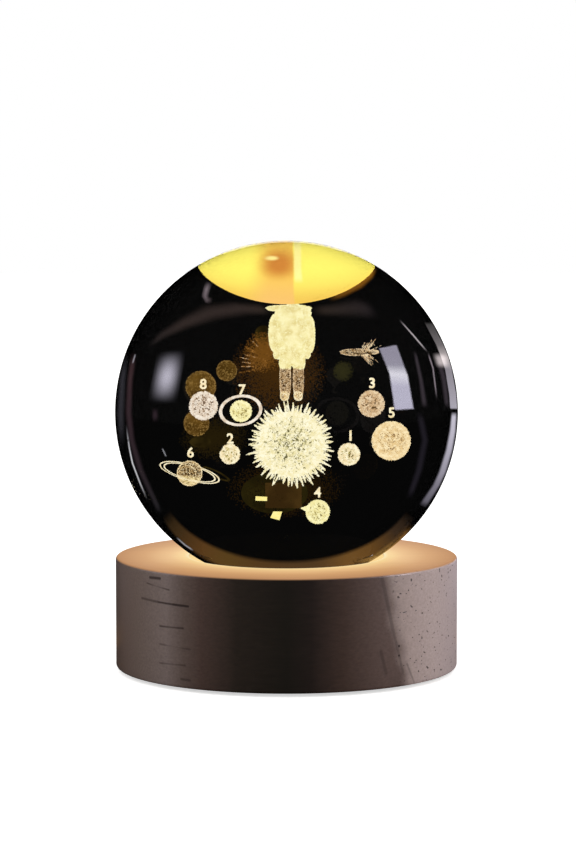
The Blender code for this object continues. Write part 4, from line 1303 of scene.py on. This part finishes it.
# %% Cards at the left
SOFT_ALL = (0.5, 0.5)
card("soft_window", [(157, 351), (147, 403)], [(187, 348), (177, 405)], "#b4b1bf", SOFT_ALL)
card("soft_spot", [(151, 407), (151, 423)], [(159, 407), (159, 423)], "#2d2228", SOFT_ALL)
card(
    "left_rim",
    [(124, 350), (118, 380), (115.5, 412), (118, 450)],
    [(130, 352), (127, 380), (125.5, 412), (126, 450)],
    "#2c2b30",
    (0.3, 0.5),
)
card(
    "left_band",
    [(130, 352), (126, 380), (124, 412), (127, 440), (136, 470), (150, 499), (158, 517)],
    [(138, 352), (134, 380), (133, 412), (136, 440), (145, 470), (156, 495), (164, 512)],
    "#3d2a2c #33252a #2a2226 #1f1f22",
    (0.1, 0.5),
)

# %% Thin lines
# Name, half width in pixels, colours and the pixels that each line runs through.
LONG_ARC = [(126, 424), (129.4, 448.5), (132.4, 463), (140, 483), (147.6, 500.6)]
HOOK = [(209.5, 281), (206.3, 290), (205, 296), (207, 300), (213, 301)]
LINES = (
    ("left_arc_1", 1.1, "#8a8890", [(135.5, 353.6), (132.4, 364)]),
    ("left_arc_2", 1.1, "#9a9aa2 #d8d8dc #8a8a90", LONG_ARC),
    ("left_arc_3", 1.1, "#8a8a90", [(162, 448), (166.4, 457)]),
    ("left_arc_4", 1.1, "#9a9aa0", [(176, 537), (185, 545), (194, 551)]),
    ("right_line_1", 1.1, "#7a7478 #b8b0b4 #a8a0a4", [(398.8, 319), (413, 335), (427.9, 352.4)]),
    ("right_line_2", 1.1, "#8a8088", [(427.9, 352.4), (433, 368), (437, 400)]),
    ("hook", 3.8, "#82767b #6a5f64 #3f3536", HOOK),
)
for name, half_width, codes, line in LINES:
    line = np.array(line)
    way = np.gradient(line, axis=0)
    aside = np.stack([-way[:, 1], way[:, 0]], 1) / np.linalg.norm(way, axis=1, keepdims=True) * half_width
    card(name, line - aside, line + aside, codes, (0.25, 0.5), (40, 5))

# %% Cards at the right
card(
    "window_right",
    [(378, 348), (388.5, 373), (394, 411)],
    [(397, 344), (408.5, 375.5), (414.5, 409.4)],
    "#8f8b9b #8f8b9b #93909f #d8d6e0 #b4b1c4 #b4b1c4 #b4b1c4",
    (0.02, 0.06),
)
card(
    "right_wall",
    [(424, 322), (436, 345), (441, 358), (445, 370), (449, 395), (450, 409.5)],
    [(432, 322), (443.9, 345), (448.9, 358), (452.3, 370), (456.6, 395), (457.5, 409.5)],
    "#3a3838 #6f6a6c #b9b0b0 #8d8890 #a09ba6 #aaa6b2",
    (0.02, 0.1),
)
card("pink_patch", [(431, 352), (436, 369)], [(447, 352), (451, 369)], "#b8aeae", (0.4, 0.4))
card("streak_1", [(412, 350), (418, 380), (421, 409)], [(417, 350), (424, 380), (429, 409)], "#352f35")
card("streak_2", [(433, 352), (440, 380), (444, 409)], [(441, 352), (448, 380), (451, 409)], "#352f35")
card(
    "streak_3",
    [(414, 410), (420, 440), (414, 470), (404, 500)],
    [(424, 410), (430, 440), (424, 470), (413, 500)],
    "#1c1920",
)
card(
    "crescent",
    [(451, 412), (449, 430), (445, 450), (438, 472), (432, 485), (418, 505)],
    [(457.4, 412), (456.4, 432), (453.4, 450), (447, 472), (440.5, 486), (426.5, 508)],
    "#c8c4d2 #b5b1bf #8d8996 #55525c",
    (0.05, 0.35),
)

# %% Cards under and over the crown's edge
card(
    "band_left",
    [(144, 347), (160, 330), (180, 316), (203, 303), (230, 300), (254, 302), (268, 303.5)],
    [(146, 352), (165, 340), (190, 330), (220, 322), (250, 317), (262, 316.5), (274, 316)],
    "#191718 #2f2623 #2f2623 #2b231c",
)
card(
    "band_right",
    [(310, 305), (330, 302), (355, 296), (372, 300)],
    [(311, 317), (335, 318), (360, 320), (385, 322)],
    "#2b231c #221d20",
    (0.25, 0.5),
)
card(
    "amber_edge",
    [(371, 264), (366, 273), (356, 281), (340, 289.5), (325, 295.5)],
    [(379, 269), (373.5, 279), (363, 289), (346, 297.5), (330, 303.5)],
    "#8a5a14 #7a4c10 #5a3a0c",
    (0.2, 0.5),
)

# %% Cards at the foot
# The band lies between two ellipses round one centre, so its lines have no corners.
foot, middle = arc((0, 0), 1, 158, 22, 30), (288, 480)
card(
    "foot_band",
    foot * (127, 80) + middle,
    foot * (137, 101) + middle,
    "#1c150a #3c2a14 #553819 #553e1a #51371a #4e371e #4e371e #6a4a22 #5e401c #36271a #18110b",
    (0.05, 0.22),
)
card(
    "foot_gold",
    [(352, 560), (374, 553), (393, 538), (409, 520)],
    [(360, 572), (384, 562), (403, 547), (418, 528)],
    "#5a4020 #b08848 #805a2c #3a2810",
    (0.2, 0.5),
)

# %% [markdown]
# ## Floor and backdrop
#
# The floor is a pale board under a white backdrop, lit softly and evenly. Camera, mirror and glass
# rays see the backdrop as plain white, and the rest of the light comes from it at a plain level,
# at which a colour renders about as it is written.

# %% Floor and backdrop
FLOOR_RADIUS, FLOOR_HEIGHTS, FLOOR_LIFT = 2.0, (-2 * MM, -0.05 * MM), 0.6
AMBIENT = 1.0


def seen_plainly(add):
    """1 for camera, mirror and glass rays, which see the backdrop as it is, and 0 for the rest."""
    path = add("LightPath").outputs
    both = add("Math", path["Is Camera Ray"], path["Is Glossy Ray"], operation="MAXIMUM")
    return add("Math", both, path["Is Transmission Ray"], operation="MAXIMUM")


def lifted(add):
    """White paint that is lifted for camera, mirror and glass rays, so that it meets the backdrop."""
    return {"Emission Strength": all_of(add, seen_plainly(add), FLOOR_LIFT)}


paint = {**UNLIT, "Base Color": "#f4f3f1", "Roughness": 1.0, "Emission Color": "#ffffff"}
low, high = FLOOR_HEIGHTS
floor_outline = [(0, low), (FLOOR_RADIUS, low), (FLOOR_RADIUS, high), (0, high)]
stage_mesh("floor", *turned(floor_outline, 96), finish_of("matt white board", paint, lifted))

world = bpy.data.worlds.new("studio")
world.use_nodes = True
bpy.context.scene.world = world
tree = world.node_tree
add = partial(add_node, tree)
dim = tree.nodes["Background"]
dim.inputs["Color"].default_value = colour("#ffffff")
dim.inputs["Strength"].default_value = AMBIENT
white = add("Background", "#ffffff", 1.0)
mix = add("MixShader", seen_plainly(add), dim, white)
tree.links.new(mix.outputs[0], tree.nodes["World Output"].inputs["Surface"])
bpy.context.scene.view_settings.view_transform = "Standard"
